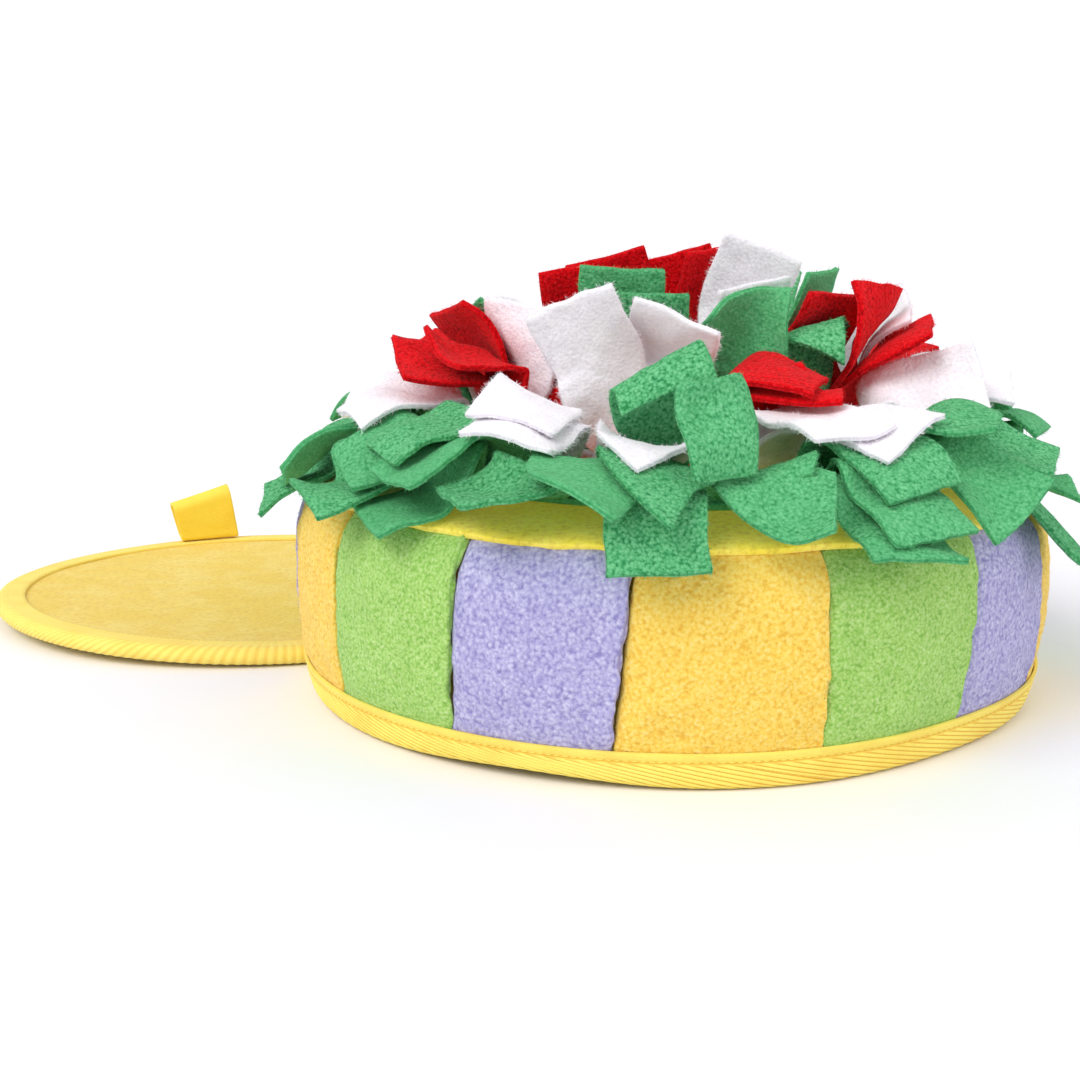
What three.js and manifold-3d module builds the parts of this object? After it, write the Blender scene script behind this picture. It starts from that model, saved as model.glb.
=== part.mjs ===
// Soft round treat box of fleece and felt, standing on its open mouth with the lid folded out on the floor.
// Millimetres, +Z up. Azimuths are degrees from the front (-Y), positive towards +X.
import * as THREE from "three";
import { mergeVertices } from "three/addons/utils/BufferGeometryUtils.js";
import Module from "manifold-3d";

const wasm = await Module();
wasm.setup();

const gap = 0.3;

// Drum: radii of the cloth wall's outside, and heights above the floor
const footRadius = 132.6;
const bellyRadius = 139.5;
const bellyHeight = 40;
const seamRadius = 131;
const seamHeight = 76;
const wallThickness = 3;
const wallFoot = 2.4;
const seamDip = 1.1;
const patchColumns = 4;
const patchHeights = [0, 0.13, 0.5, 0.82, 1];
const repeats = 5;
const firstSeam = -10.9;
const frontYellow = 27.9;
const patches = [
  { name: "yellow", width: 23.65, colour: 0xf7c244 },
  { name: "green", width: 24.2, colour: 0x8fcf58 },
  { name: "lilac", width: 23.3, colour: 0xb9b4e4 },
];

// The cloth gives a little: the foot is pulled in at the right front and the top sags to the right
const footPull = 3.4;
const footPullAt = 40;
const footPullWidth = 20;
const topSag = 1.3;

// Top panel
const topThickness = 2.5;
const crownRise = 11;
const crownPower = 2.4;
const crownRings = [0, 45, 80, 105, 120, seamRadius];
const crownSteps = 36;

// Twill tape around the rim
const tapeThickness = 1.2;
const tapeHeight = 10.7;
const tapeInnerHeight = 9;
const tapeFloor = 1.5;
const tapeEdge = 0.8;

// Lid: a slightly oval bound disc
const lidCentre = [-171, 111];
const lidHalfX = 114.5;
const lidHalfY = 110;
const lidThickness = 4.6;
const lidFloor = 1.4;
const lidTapeWidth = 9;
const lidTapeThickness = 1.1;
const lidSteps = 44;
const hingeRadius = 136.9;
const hingeHeight = 60;
const hingeSteps = 96;

// Pull loop of folded ribbon on the lid's far edge
const loopAzimuth = 113;
const loopWidth = 28;
const loopHeight = 23;
const loopInner = 7;
const loopThickness = 1.4;
const loopSkew = 0.17;
const loopInset = 6;
const loopSteps = 7;

// Fleece petals, sewn down in rings
const petalThickness = 2;
const petalWidth = 31;
const petalColumns = 3;
const petalRows = 5;
const lineSteps = 48;
const rootWidth = 0.26;
const fullWidthAt = 0.62;
const rootCup = 60;
const rootDepth = 1.2;
const cupMean = 8;
const cupSpread = 22;
const stripHeight = 2.2;
const stripWidth = 7;
const stripSteps = 12;
const stripStepLength = 6;
const rings = [
  { name: "green_outer", colour: 0x3aa05f, radius: 101, lean: 48, length: 66, flopped: true },
  { name: "green_inner", colour: 0x3aa05f, radius: 88, lean: 40, length: 66, flopped: true },
  { name: "white_outer", colour: 0xf1eef4, radius: 74, lean: 34, length: 68, flopped: true },
  { name: "red_outer", colour: 0xc4141f, radius: 61, lean: 26, length: 68, flopped: false },
  { name: "white_middle", colour: 0xf1eef4, radius: 49, lean: 18, length: 68, flopped: false },
  { name: "green_middle", colour: 0x3aa05f, radius: 38, lean: 12, length: 70, flopped: false },
  { name: "white_centre", colour: 0xf1eef4, radius: 27, lean: 8, length: 74, flopped: false },
  { name: "red_centre", colour: 0xc4141f, radius: 16, lean: 6, length: 72, flopped: false },
  { name: "green_centre", colour: 0x3aa05f, radius: 6, lean: 4, length: 66, flopped: false },
];

// Petals around the back, evenly spread between two azimuths, and how they fall
const backRows = {
  green_outer: { from: 93, to: 264, count: 10, reach: 147, height: 82, pitch: -30 },
  green_inner: { from: 80, to: 268, count: 10, reach: 136, height: 97, pitch: -20 },
  white_outer: { from: 92, to: 282, count: 8, reach: 122, height: 108, pitch: -12 },
  red_outer: { from: 94, to: 268, count: 6, reach: 102, height: 126, pitch: 15 },
  white_middle: { from: 100, to: 275, count: 5, reach: 78, height: 143, pitch: 45 },
  green_middle: { from: 122, to: 250, count: 3, reach: 58, height: 151, pitch: 62 },
  white_centre: { from: 165, to: 215, count: 1, reach: 44, height: 155, pitch: 72 },
};

const backSpread = { root: 3, tip: 6, reach: 4, height: 5, heading: 18, pitch: 12, tilt: 16 };

// Petals as they fall at the front: azimuth of the root, then of the tip, the tip's distance from the
// axis and height, and there the way the cloth heads, its slope and the roll of its end
// (and a layer of its own where it doesn't lie with its ring)
const posed = {
  green_outer: [
    { root: -8, tip: -5.5, reach: 146, height: 72, heading: -4, pitch: -78, tilt: 0 },
    { root: -86, tip: -81, reach: 150, height: 70, heading: -88, pitch: -18, tilt: -12 },
    { root: -46, tip: -49, reach: 140, height: 76, heading: -74, pitch: -18, tilt: 12 },
    { root: 20, tip: 34, reach: 147, height: 80, heading: 84, pitch: -20, tilt: 32 },
    { root: 62, tip: 60, reach: 150, height: 60, heading: 66, pitch: -48, tilt: 16 },
    { root: 80, tip: 78, reach: 145, height: 79, heading: 82, pitch: -20, tilt: 8 },
    { root: -62, tip: -57, reach: 149, height: 82, heading: -66, pitch: -15, tilt: -16 },
    { root: 28, tip: 28.5, reach: 149, height: 84, heading: 30, pitch: -28, tilt: 0 },
    { root: 40, tip: 45, reach: 151, height: 86, heading: 58, pitch: -18, tilt: 36 },
    { root: -26, tip: -31, reach: 145, height: 94, heading: -62, pitch: -16, tilt: -14 },
    { root: 14, tip: 15.5, reach: 147, height: 92, heading: 66, pitch: -35, tilt: 26 },
    { root: -18, tip: -9, reach: 148, height: 95, heading: 70, pitch: -25, tilt: 14 },
    { root: 6, tip: -3, reach: 128, height: 111, heading: -85, pitch: 0, tilt: 80, layer: 2.6 },
  ],
  green_inner: [
    { root: -70, tip: -73, reach: 148, height: 84, heading: -78, pitch: -18, tilt: 10 },
    { root: -84, tip: -78, reach: 134, height: 93, heading: -82, pitch: -22, tilt: 0 },
    { root: -57, tip: -55, reach: 137, height: 98, heading: -70, pitch: -15, tilt: -4 },
    { root: -33, tip: -39, reach: 136, height: 98, heading: -60, pitch: -15, tilt: -10 },
    { root: -45, tip: -46, reach: 135, height: 104, heading: -66, pitch: -10, tilt: 8 },
    { root: -13, tip: -2, reach: 149, height: 96, heading: 58, pitch: -26, tilt: 18 },
    { root: 25, tip: 30, reach: 138, height: 95, heading: 34, pitch: -22, tilt: 8 },
    { root: 62, tip: 60, reach: 137, height: 96, heading: 66, pitch: -24, tilt: 10 },
    { root: 45, tip: 49, reach: 137, height: 104, heading: 64, pitch: -12, tilt: 14 },
    { root: 2, tip: -8, reach: 120, height: 113, heading: 0, pitch: -55, tilt: 20, layer: 2.5 },
  ],
  white_outer: [
    { root: -66, tip: -64, reach: 124, height: 101, heading: -72, pitch: -18, tilt: -12 },
    { root: -40, tip: -34, reach: 127, height: 105, heading: -60, pitch: -14, tilt: 6 },
    { root: -27, tip: -38, reach: 121, height: 110, heading: -70, pitch: -12, tilt: -12 },
    { root: -18, tip: -3, reach: 130, height: 99, heading: 48, pitch: -35, tilt: 24 },
    { root: 22, tip: 32, reach: 128, height: 99, heading: 50, pitch: -15, tilt: 0 },
    { root: 13, tip: 25.5, reach: 120, height: 105, heading: 44, pitch: -14, tilt: 0 },
    { root: 70, tip: 76, reach: 123, height: 117, heading: 80, pitch: 0, tilt: 26 },
    { root: 50, tip: 61.5, reach: 116, height: 119, heading: 76, pitch: -5, tilt: 56 },
  ],
  red_outer: [
    { root: -86, tip: -74, reach: 84, height: 145, heading: -84, pitch: 70, tilt: 10, layer: 3.5 },
    { root: -67, tip: -63, reach: 106, height: 126, heading: -76, pitch: 8, tilt: -6 },
    { root: -55, tip: -58, reach: 95, height: 129, heading: -70, pitch: 12, tilt: -10 },
    { root: -42, tip: -47, reach: 64, height: 133, heading: -44, pitch: 75, tilt: 0, layer: 4.2 },
    { root: 30, tip: 33, reach: 99, height: 121, heading: 68, pitch: 0, tilt: 18 },
    { root: 9, tip: 27, reach: 97, height: 122, heading: 88, pitch: 0, tilt: 58 },
    { root: 76, tip: 68, reach: 96, height: 137, heading: 76, pitch: 32, tilt: 42 },
    { root: 64, tip: 62, reach: 76, height: 148, heading: 62, pitch: 60, tilt: 20, layer: 4.5 },
    { root: 53, tip: 55, reach: 69, height: 147, heading: 60, pitch: 65, tilt: -15, layer: 5.5 },
  ],
  white_middle: [
    { root: -62, tip: -62, reach: 56, height: 147, heading: -36, pitch: 78, tilt: 4 },
    { root: -30, tip: -31, reach: 75, height: 147, heading: -46, pitch: 56, tilt: 46 },
    { root: 0, tip: -1, reach: 66, height: 140, heading: 10, pitch: 40, tilt: -24 },
    { root: 77, tip: 77, reach: 87, height: 140, heading: 73, pitch: 40, tilt: 38 },
  ],
  green_middle: [
    { root: -88, tip: -83, reach: 72, height: 136, heading: -80, pitch: 30, tilt: 10 },
    { root: 20, tip: 24, reach: 60, height: 142, heading: 20, pitch: 50, tilt: 16 },
    { root: 40, tip: 43, reach: 86, height: 138, heading: 60, pitch: 24, tilt: 28 },
    { root: 66, tip: 66, reach: 58, height: 154, heading: 62, pitch: 70, tilt: 0, layer: 5.6 },
  ],
  white_centre: [
    { root: 45, tip: 64, reach: 32, height: 149, heading: 0, pitch: 72, tilt: 30, layer: 6.1 },
    { root: 100, tip: 104, reach: 36, height: 161, heading: 50, pitch: 62, tilt: -46, layer: 6.4 },
  ],
  red_centre: [
    { root: -114, tip: -114, reach: 40, height: 151, heading: -28, pitch: 72, tilt: 20, layer: 6.3 },
    { root: 140, tip: 136, reach: 27, height: 159, heading: 34, pitch: 70, tilt: 8, layer: 6.6 },
    { root: 180, tip: 174, reach: 29, height: 156, heading: -30, pitch: 66, tilt: 38, layer: 6.7 },
    { root: 225, tip: 222, reach: 35, height: 155, heading: -36, pitch: 64, tilt: 40, layer: 6.65 },
  ],
  green_centre: [
    { root: -30, tip: -32, reach: 19, height: 145, heading: 8, pitch: 74, tilt: -6, layer: 6 },
    { root: -95, tip: -90, reach: 18, height: 153, heading: 10, pitch: 74, tilt: -10, layer: 6.2 },
  ],
};

// How the petals are kept apart
const restGap = 1.2;
const drumClearance = 2.6;
const contactReach = 7;
const samplesPerStep = 3;
const settleRounds = 140;
const anchorPull = 0.06;
const anchorShare = 0.5;
const moveEase = 0.7;
const leastWeight = 0.8;
const threadFirmness = 0.5;
const bendFirmness = 0.15;

const rad = THREE.MathUtils.degToRad;
const add = (a, b, s = 1) => [a[0] + b[0] * s, a[1] + b[1] * s, a[2] + b[2] * s];
const dot = (a, b) => a[0] * b[0] + a[1] * b[1] + a[2] * b[2];
const cross = (a, b) => [a[1] * b[2] - a[2] * b[1], a[2] * b[0] - a[0] * b[2], a[0] * b[1] - a[1] * b[0]];
const scaled = (a, s) => [a[0] * s, a[1] * s, a[2] * s];
const length = (a) => Math.hypot(a[0], a[1], a[2]);
const unit = (a) => scaled(a, 1 / (length(a) || 1));
const mix = (a, b, t) => [a[0] + (b[0] - a[0]) * t, a[1] + (b[1] - a[1]) * t, a[2] + (b[2] - a[2]) * t];
const outward = (azimuth) => [Math.sin(rad(azimuth)), -Math.cos(rad(azimuth)), 0];
const around = (azimuth) => [Math.cos(rad(azimuth)), Math.sin(rad(azimuth)), 0];
const polar = (azimuth, r, z) => add(scaled(outward(azimuth), r), [0, 0, z]);

let seed = 7;
function jitter(size) {
  seed = (seed * 16807) % 2147483647;
  return (seed / 2147483647 * 2 - 1) * size;
}

function wallRadius(z) {
  if (z < bellyHeight) {
    return bellyRadius - (bellyRadius - footRadius) * ((bellyHeight - z) / bellyHeight) ** 2;
  }
  return bellyRadius - (bellyRadius - seamRadius) * ((z - bellyHeight) / (seamHeight - bellyHeight)) ** 4;
}

function topHeight(r) {
  return seamHeight + crownRise * (1 - Math.min(1, r / seamRadius) ** crownPower);
}

// Moves a point of the even drum to where the soft cloth settles
function settled([x, y, z]) {
  const r = Math.hypot(x, y) || 1;
  const azimuth = THREE.MathUtils.radToDeg(Math.atan2(x, -y));
  const low = Math.max(0, 1 - z / seamHeight);
  const near = Math.exp(-(((azimuth - footPullAt) / footPullWidth) ** 2));
  const pull = footPull * low * near * (r / footRadius);
  const sag = topSag * Math.min(1, z / seamHeight) * (x / seamRadius);
  return [x * (1 - pull / r), y * (1 - pull / r), z - sag];
}

function geometryOf(points, triangles) {
  const geometry = new THREE.BufferGeometry();
  geometry.setAttribute("position", new THREE.Float32BufferAttribute(points.flat(), 3));
  geometry.setIndex(triangles);
  return geometry;
}

// Closed sheet on a grid of middle points, rows by columns
function sheet(grid, thickness) {
  const rows = grid.length;
  const columns = grid[0].length;
  const normals = gridNormals(grid);
  const points = [];
  for (const side of [0.5, -0.5]) {
    for (let i = 0; i < rows; i++) {
      for (let j = 0; j < columns; j++) {
        points.push(add(grid[i][j], normals[i][j], side * thickness));
      }
    }
  }
  const below = rows * columns;
  const triangles = [];
  const quad = (a, b, c, d) => triangles.push(a, b, c, a, c, d);
  for (let i = 0; i + 1 < rows; i++) {
    for (let j = 0; j + 1 < columns; j++) {
      const a = i * columns + j;
      quad(a, a + columns, a + columns + 1, a + 1);
      quad(below + a, below + a + 1, below + a + columns + 1, below + a + columns);
    }
    const left = i * columns;
    const right = left + columns - 1;
    quad(left, below + left, below + left + columns, left + columns);
    quad(right, right + columns, below + right + columns, below + right);
  }
  for (let j = 0; j + 1 < columns; j++) {
    const end = (rows - 1) * columns + j;
    quad(j, j + 1, below + j + 1, below + j);
    quad(end, below + end, below + end + 1, end + 1);
  }
  return geometryOf(points, triangles);
}

// Unit normals of a grid: along the rows, crossed with across the columns
function gridNormals(grid) {
  const rows = grid.length;
  const columns = grid[0].length;
  return grid.map((row, i) => row.map((point, j) => {
    const along = add(grid[Math.min(rows - 1, i + 1)][j], grid[Math.max(0, i - 1)][j], -1);
    const across = add(row[Math.min(columns - 1, j + 1)], row[Math.max(0, j - 1)], -1);
    return unit(cross(along, across));
  }));
}

// Closed band: a closed section carried round a closed ring of stations
function band(sections) {
  const stations = sections.length;
  const corners = sections[0].length;
  const triangles = [];
  for (let i = 0; i < stations; i++) {
    for (let j = 0; j < corners; j++) {
      const a = i * corners + j;
      const b = i * corners + (j + 1) % corners;
      const c = ((i + 1) % stations) * corners + (j + 1) % corners;
      const d = ((i + 1) % stations) * corners + j;
      triangles.push(a, c, b, a, d, c);
    }
  }
  return geometryOf(sections.flat(), triangles);
}

function solidOf(geometry) {
  const bare = geometry.clone();
  bare.deleteAttribute("normal");
  bare.deleteAttribute("uv");
  const merged = mergeVertices(bare, 1e-4);
  return new wasm.Manifold(new wasm.Mesh({
    numProp: 3,
    vertProperties: Float32Array.from(merged.attributes.position.array),
    triVerts: Uint32Array.from(merged.index.array),
  }));
}

function geometryFrom(solid) {
  const mesh = solid.getMesh();
  const geometry = new THREE.BufferGeometry();
  geometry.setAttribute("position", new THREE.BufferAttribute(Float32Array.from(mesh.vertProperties), 3));
  geometry.setIndex(Array.from(mesh.triVerts));
  return geometry;
}

const box = new THREE.Group();

function place(name, geometry, colour, roughness = 0.95) {
  const material = new THREE.MeshStandardMaterial({ color: colour, roughness, metalness: 0 });
  geometry.computeVertexNormals();
  const mesh = new THREE.Mesh(geometry, material);
  mesh.name = name;
  box.add(mesh);
}

// Wall patches, and the ring of stations that the rim tape shares with them
const stations = [];
const slack = THREE.MathUtils.radToDeg(gap / 2 / (footRadius - wallThickness));
const wallTop = seamHeight - 3 * gap;

function patchGrid(from, width) {
  return patchHeights.map((share) => {
    const z = wallFoot + (wallTop - wallFoot) * share;
    const aboveTape = Math.max(0, share - patchHeights[1]) / (1 - patchHeights[1]);
    return Array.from({ length: patchColumns + 1 }, (unused, j) => {
      const t = j / patchColumns;
      const dip = seamDip * Math.abs(2 * t - 1) ** 3 * Math.sin(Math.PI * aboveTape);
      const azimuth = from + slack + (width - 2 * slack) * t;
      return settled(polar(azimuth, wallRadius(z) - wallThickness / 2 - dip, z));
    });
  });
}

let seam = firstSeam;
for (let turn = 1; turn <= repeats; turn++) {
  for (const patch of patches) {
    const width = seam === firstSeam ? frontYellow : patch.width;
    place(`wall_patch_${turn}_${patch.name}`, sheet(patchGrid(seam, width), wallThickness), patch.colour);
    for (let j = 0; j < patchColumns; j++) {
      stations.push(seam + width * j / patchColumns);
    }
    seam += width;
  }
}

// Top panel: a crowned felt disc over the wall's upper edge
const crown = [];
for (const r of crownRings) {
  crown.push(new THREE.Vector2(r, topHeight(r)));
}
for (const r of [...crownRings].reverse()) {
  crown.push(new THREE.Vector2(r, topHeight(r) + topThickness));
}
const topGeometry = mergeVertices(bareLathe(crown, crownSteps));
moveBy(topGeometry, settled);
place("top_panel", topGeometry, 0xd8b93a);

function bareLathe(profile, steps) {
  const geometry = new THREE.LatheGeometry(profile, steps);
  geometry.rotateX(Math.PI / 2);
  geometry.deleteAttribute("normal");
  geometry.deleteAttribute("uv");
  return geometry;
}

function moveBy(geometry, move) {
  const position = geometry.attributes.position;
  for (let i = 0; i < position.count; i++) {
    position.setXYZ(i, ...move([position.getX(i), position.getY(i), position.getZ(i)]));
  }
}

// Rim tape folded over the wall's lower edge
function tapeSection(azimuth) {
  const outer = (z, lift) => polar(azimuth, wallRadius(z) + gap + lift, z);
  const inner = (z, lift) => polar(azimuth, wallRadius(z) - wallThickness - gap - lift, z);
  return [
    outer(0, tapeThickness), outer(tapeHeight / 2, tapeThickness),
    outer(tapeHeight, tapeThickness * tapeEdge),
    outer(tapeHeight, 0), outer(tapeHeight / 2, 0), outer(tapeFloor, 0),
    inner(tapeFloor, 0), inner(tapeInnerHeight, 0),
    inner(tapeInnerHeight, tapeThickness), inner(0, tapeThickness),
  ].map(settled);
}
place("rim_binding", band(stations.map(tapeSection)), 0xffd93a, 0.8);

// Lid of felt and its tape, both meeting the rim along the hinge
const hingeCut = new THREE.CylinderGeometry(hingeRadius, hingeRadius, hingeHeight, hingeSteps);
const hinge = solidOf(hingeCut.rotateX(Math.PI / 2));
const lidPoint = (turn, inset, z) => [
  lidCentre[0] + (lidHalfX - inset) * Math.cos(turn),
  lidCentre[1] + (lidHalfY - inset) * Math.sin(turn),
  z,
];

function lidDisc() {
  const outline = new THREE.Shape();
  for (let i = 0; i < lidSteps; i++) {
    const [x, y] = lidPoint(Math.PI * 2 * i / lidSteps, lidTapeThickness + gap, 0);
    outline[i ? "lineTo" : "moveTo"](x, y);
  }
  outline.closePath();
  return new THREE.ExtrudeGeometry(outline, { depth: lidThickness, bevelEnabled: false, curveSegments: 1 })
    .translate(0, 0, lidFloor);
}

function lidTapeSection(turn) {
  const top = lidFloor + lidThickness + gap;
  const reach = lidTapeThickness + gap;
  return [
    lidPoint(turn, 0, 0), lidPoint(turn, 0, top), lidPoint(turn, lidTapeThickness, top + lidTapeThickness),
    lidPoint(turn, lidTapeWidth, top + lidTapeThickness), lidPoint(turn, lidTapeWidth, top),
    lidPoint(turn, reach - gap, top), lidPoint(turn, reach - gap, lidFloor - gap),
    lidPoint(turn, lidTapeWidth, lidFloor - gap), lidPoint(turn, lidTapeWidth, 0),
  ];
}
const lidTurns = Array.from({ length: lidSteps }, (unused, i) => Math.PI * 2 * i / lidSteps);
place("lid", geometryFrom(solidOf(lidDisc()).subtract(hinge)), 0xe8c956);
const lidTape = solidOf(band(lidTurns.map(lidTapeSection)));
place("lid_binding", geometryFrom(lidTape.subtract(hinge)), 0xffd93a, 0.8);

// Pull loop: a ribbon folded over and sewn to the lid's edge
function loopGeometry() {
  const half = loopInner / 2 + loopThickness;
  const arch = (radius, shape) => {
    shape.moveTo(-radius, half - radius);
    shape.lineTo(radius, half - radius);
    shape.absarc(0, loopHeight - half, radius, 0, Math.PI, false);
    shape.closePath();
    return shape;
  };
  const outline = arch(half, new THREE.Shape());
  outline.holes.push(arch(loopInner / 2, new THREE.Path()));
  const settings = { depth: loopWidth, bevelEnabled: false, curveSegments: loopSteps };
  const geometry = new THREE.ExtrudeGeometry(outline, settings);
  geometry.translate(0, 0, -loopWidth / 2);
  moveBy(geometry, ([x, y, z]) => [x, y * (1 + loopSkew * z / (loopWidth / 2)), z]);
  return geometry.rotateX(Math.PI / 2).rotateZ(Math.PI / 2);
}
const loopTurn = rad(loopAzimuth);
const loopFoot = lidFloor + lidThickness + lidTapeThickness + 2 * gap;
const loop = loopGeometry();
loop.rotateZ(loopTurn - Math.PI / 2);
loop.translate(...lidPoint(loopTurn, loopInset, loopFoot));
place("pull_loop", loop, 0xffcf45, 0.7);

// Centre line of a petal: from its root to its tip, at the ring's length of cloth
function centreLine(root, rootWay, tip, tipWay, cloth) {
  const fine = lineSteps;
  const walk = (pull) => {
    const points = [];
    for (let k = 0; k <= fine; k++) {
      const t = k / fine;
      const h0 = 2 * t ** 3 - 3 * t ** 2 + 1;
      const h1 = t ** 3 - 2 * t ** 2 + t;
      const h2 = -2 * t ** 3 + 3 * t ** 2;
      const h3 = t ** 3 - t ** 2;
      const ends = add(scaled(root, h0), tip, h2);
      points.push(add(add(ends, rootWay, h1 * pull), tipWay, h3 * pull));
    }
    const run = [0];
    for (let k = 0; k < fine; k++) {
      run.push(run[k] + length(add(points[k + 1], points[k], -1)));
    }
    return { points, run };
  };
  let low = cloth * 0.3;
  let high = cloth * 3;
  for (let k = 0; k < 30; k++) {
    const middle = (low + high) / 2;
    if (walk(middle).run[fine] < cloth) {
      low = middle;
    } else {
      high = middle;
    }
  }
  const { points, run } = walk(low);
  return Array.from({ length: petalRows + 1 }, (unused, i) => {
    const want = run[fine] * i / petalRows;
    let k = 0;
    while (k < fine - 1 && run[k + 1] < want) {
      k += 1;
    }
    return mix(points[k], points[k + 1], (want - run[k]) / (run[k + 1] - run[k]));
  });
}

// Grid of a petal's middle surface
function petalGrid(ring, pose) {
  const bed = topHeight(ring.radius) + topThickness + gap;
  const root = polar(pose.root, ring.radius, bed + stripHeight - rootDepth);
  const rootWay = unit(add([0, 0, Math.cos(rad(ring.lean))], outward(pose.root), Math.sin(rad(ring.lean))));
  const tip = polar(pose.tip, pose.reach, pose.height);
  const pitch = rad(pose.pitch);
  const tipWay = add(scaled(outward(pose.heading), Math.cos(pitch)), [0, 0, Math.sin(pitch)]);
  const line = centreLine(root, rootWay, tip, tipWay, ring.length);
  const level = around(pose.heading);
  const tilt = rad(pose.tilt);
  const tipAcross = add(scaled(level, Math.cos(tilt)), cross(tipWay, level), Math.sin(tilt));
  const ways = line.map((point, i) => {
    return unit(add(line[Math.min(petalRows, i + 1)], line[Math.max(0, i - 1)], -1));
  });
  ways[0] = rootWay;
  ways[petalRows] = tipWay;
  const across = [around(ring.flopped ? pose.root : pose.heading)];
  for (let i = 1; i <= petalRows; i++) {
    across.push(unit(add(across[i - 1], ways[i], -dot(across[i - 1], ways[i]))));
  }
  const last = across[petalRows];
  const twist = Math.atan2(dot(tipAcross, cross(tipWay, last)), dot(tipAcross, last));
  return line.map((point, i) => {
    const s = i / petalRows;
    const turn = twist * s * s * (3 - 2 * s);
    const upper = cross(ways[i], across[i]);
    const side = add(scaled(across[i], Math.cos(turn)), upper, Math.sin(turn));
    const face = cross(ways[i], side);
    const cup = rad(rootCup * (1 - s) ** 2 + pose.cup * s);
    const spread = Math.sin(Math.PI / 2 * Math.min(1, s / fullWidthAt));
    const span = petalWidth * (rootWidth + (1 - rootWidth) * spread);
    return Array.from({ length: petalColumns + 1 }, (unused, j) => {
      const u = j / petalColumns - 0.5;
      const bend = cup * u || 1e-6 * (u || 1);
      const radius = span * u / bend;
      return add(add(point, side, radius * Math.sin(bend)), face, radius * (1 - Math.cos(bend)));
    });
  });
}

// Every petal, the lowest layer first
const petals = [];
rings.forEach((ring, layer) => {
  const poses = posed[ring.name].map((pose) => ({ layer, ...pose, cup: cupMean + jitter(cupSpread) }));
  const back = backRows[ring.name] ?? { count: 0 };
  for (let k = 0; k < back.count; k++) {
    const root = back.from + (back.to - back.from) * (k + 0.5) / back.count + jitter(backSpread.root);
    const tip = root + jitter(backSpread.tip);
    poses.push({
      layer,
      root,
      tip,
      reach: back.reach + jitter(backSpread.reach),
      height: back.height + jitter(backSpread.height),
      heading: tip + jitter(backSpread.heading),
      pitch: back.pitch + jitter(backSpread.pitch),
      tilt: jitter(backSpread.tilt),
      cup: cupMean + jitter(cupSpread),
    });
  }
  for (const pose of poses) {
    petals.push({ ring, layer: pose.layer, grid: petalGrid(ring, pose) });
  }
});
petals.sort((one, other) => one.layer - other.layer);

keepApart(petals);

for (const ring of rings) {
  const bed = (r) => topHeight(r) + topThickness + gap;
  const inside = Math.max(2, ring.radius - stripWidth / 2);
  const outside = ring.radius + stripWidth / 2;
  const profile = [
    new THREE.Vector2(inside, bed(inside)), new THREE.Vector2(outside, bed(outside)),
    new THREE.Vector2(outside, bed(outside) + stripHeight),
    new THREE.Vector2(inside, bed(inside) + stripHeight),
    new THREE.Vector2(inside, bed(inside)),
  ];
  const steps = Math.round(stripSteps + ring.radius / stripStepLength);
  let solid = solidOf(bareLathe(profile, steps));
  for (const petal of petals.filter((one) => one.ring === ring)) {
    solid = solid.add(solidOf(sheet(petal.grid, petalThickness)));
  }
  const geometry = geometryFrom(solid);
  moveBy(geometry, settled);
  place(`petals_${ring.name}`, geometry, ring.colour);
}

// Presses petals off each other and off the drum: each lies on the upper face of those in lower layers
function keepApart(all) {
  const spans = all.map(({ grid }) => restSpans(grid));
  const rests = all.map(({ grid }) => grid.map((row) => [...row]));
  for (let round = 0; round < settleRounds; round++) {
    const samples = all.flatMap(({ grid }, owner) => samplesOf(grid, owner));
    const cells = new Map();
    for (const sample of samples) {
      const key = cellKey(...cellOf(sample.point));
      if (!cells.has(key)) {
        cells.set(key, []);
      }
      cells.get(key).push(sample);
    }
    for (const sample of samples) {
      for (const other of nearestOthers(sample, cells)) {
        pressFrom(sample, other);
      }
      pressFromDrum(sample);
    }
    all.forEach(({ grid }, owner) => {
      applyMoves(grid, samples.filter((sample) => sample.owner === owner && sample.hits));
      keepSpans(grid, spans[owner]);
      if (round < settleRounds * anchorShare) {
        rests[owner].forEach((row, i) => row.forEach((rest, j) => {
          grid[i][j] = mix(grid[i][j], rest, anchorPull);
        }));
      }
    });
  }
}

// Points spread over a petal, with the weights of the grid corners around each
function samplesOf(grid, owner) {
  const normals = gridNormals(grid);
  const samples = [];
  for (let i = 2; i <= petalRows * samplesPerStep; i++) {
    for (let j = 0; j <= petalColumns * samplesPerStep; j++) {
      const corners = cornersAt(i / samplesPerStep, j / samplesPerStep);
      const point = blend(grid, corners);
      const normal = unit(blend(normals, corners));
      samples.push({ owner, corners, point, normal, push: [0, 0, 0], hits: 0 });
    }
  }
  return samples;
}

function cornersAt(row, column) {
  const i = Math.min(petalRows - 1, Math.floor(row));
  const j = Math.min(petalColumns - 1, Math.floor(column));
  const s = row - i;
  const t = column - j;
  return [
    [i, j, (1 - s) * (1 - t)], [i + 1, j, s * (1 - t)], [i, j + 1, (1 - s) * t], [i + 1, j + 1, s * t],
  ];
}

function blend(grid, corners) {
  return corners.reduce((sum, [i, j, weight]) => add(sum, grid[i][j], weight), [0, 0, 0]);
}

function cellOf(point) {
  return point.map((value) => Math.floor(value / contactReach) + 100);
}

function cellKey(x, y, z) {
  return (x * 1000 + y) * 1000 + z;
}

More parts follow.
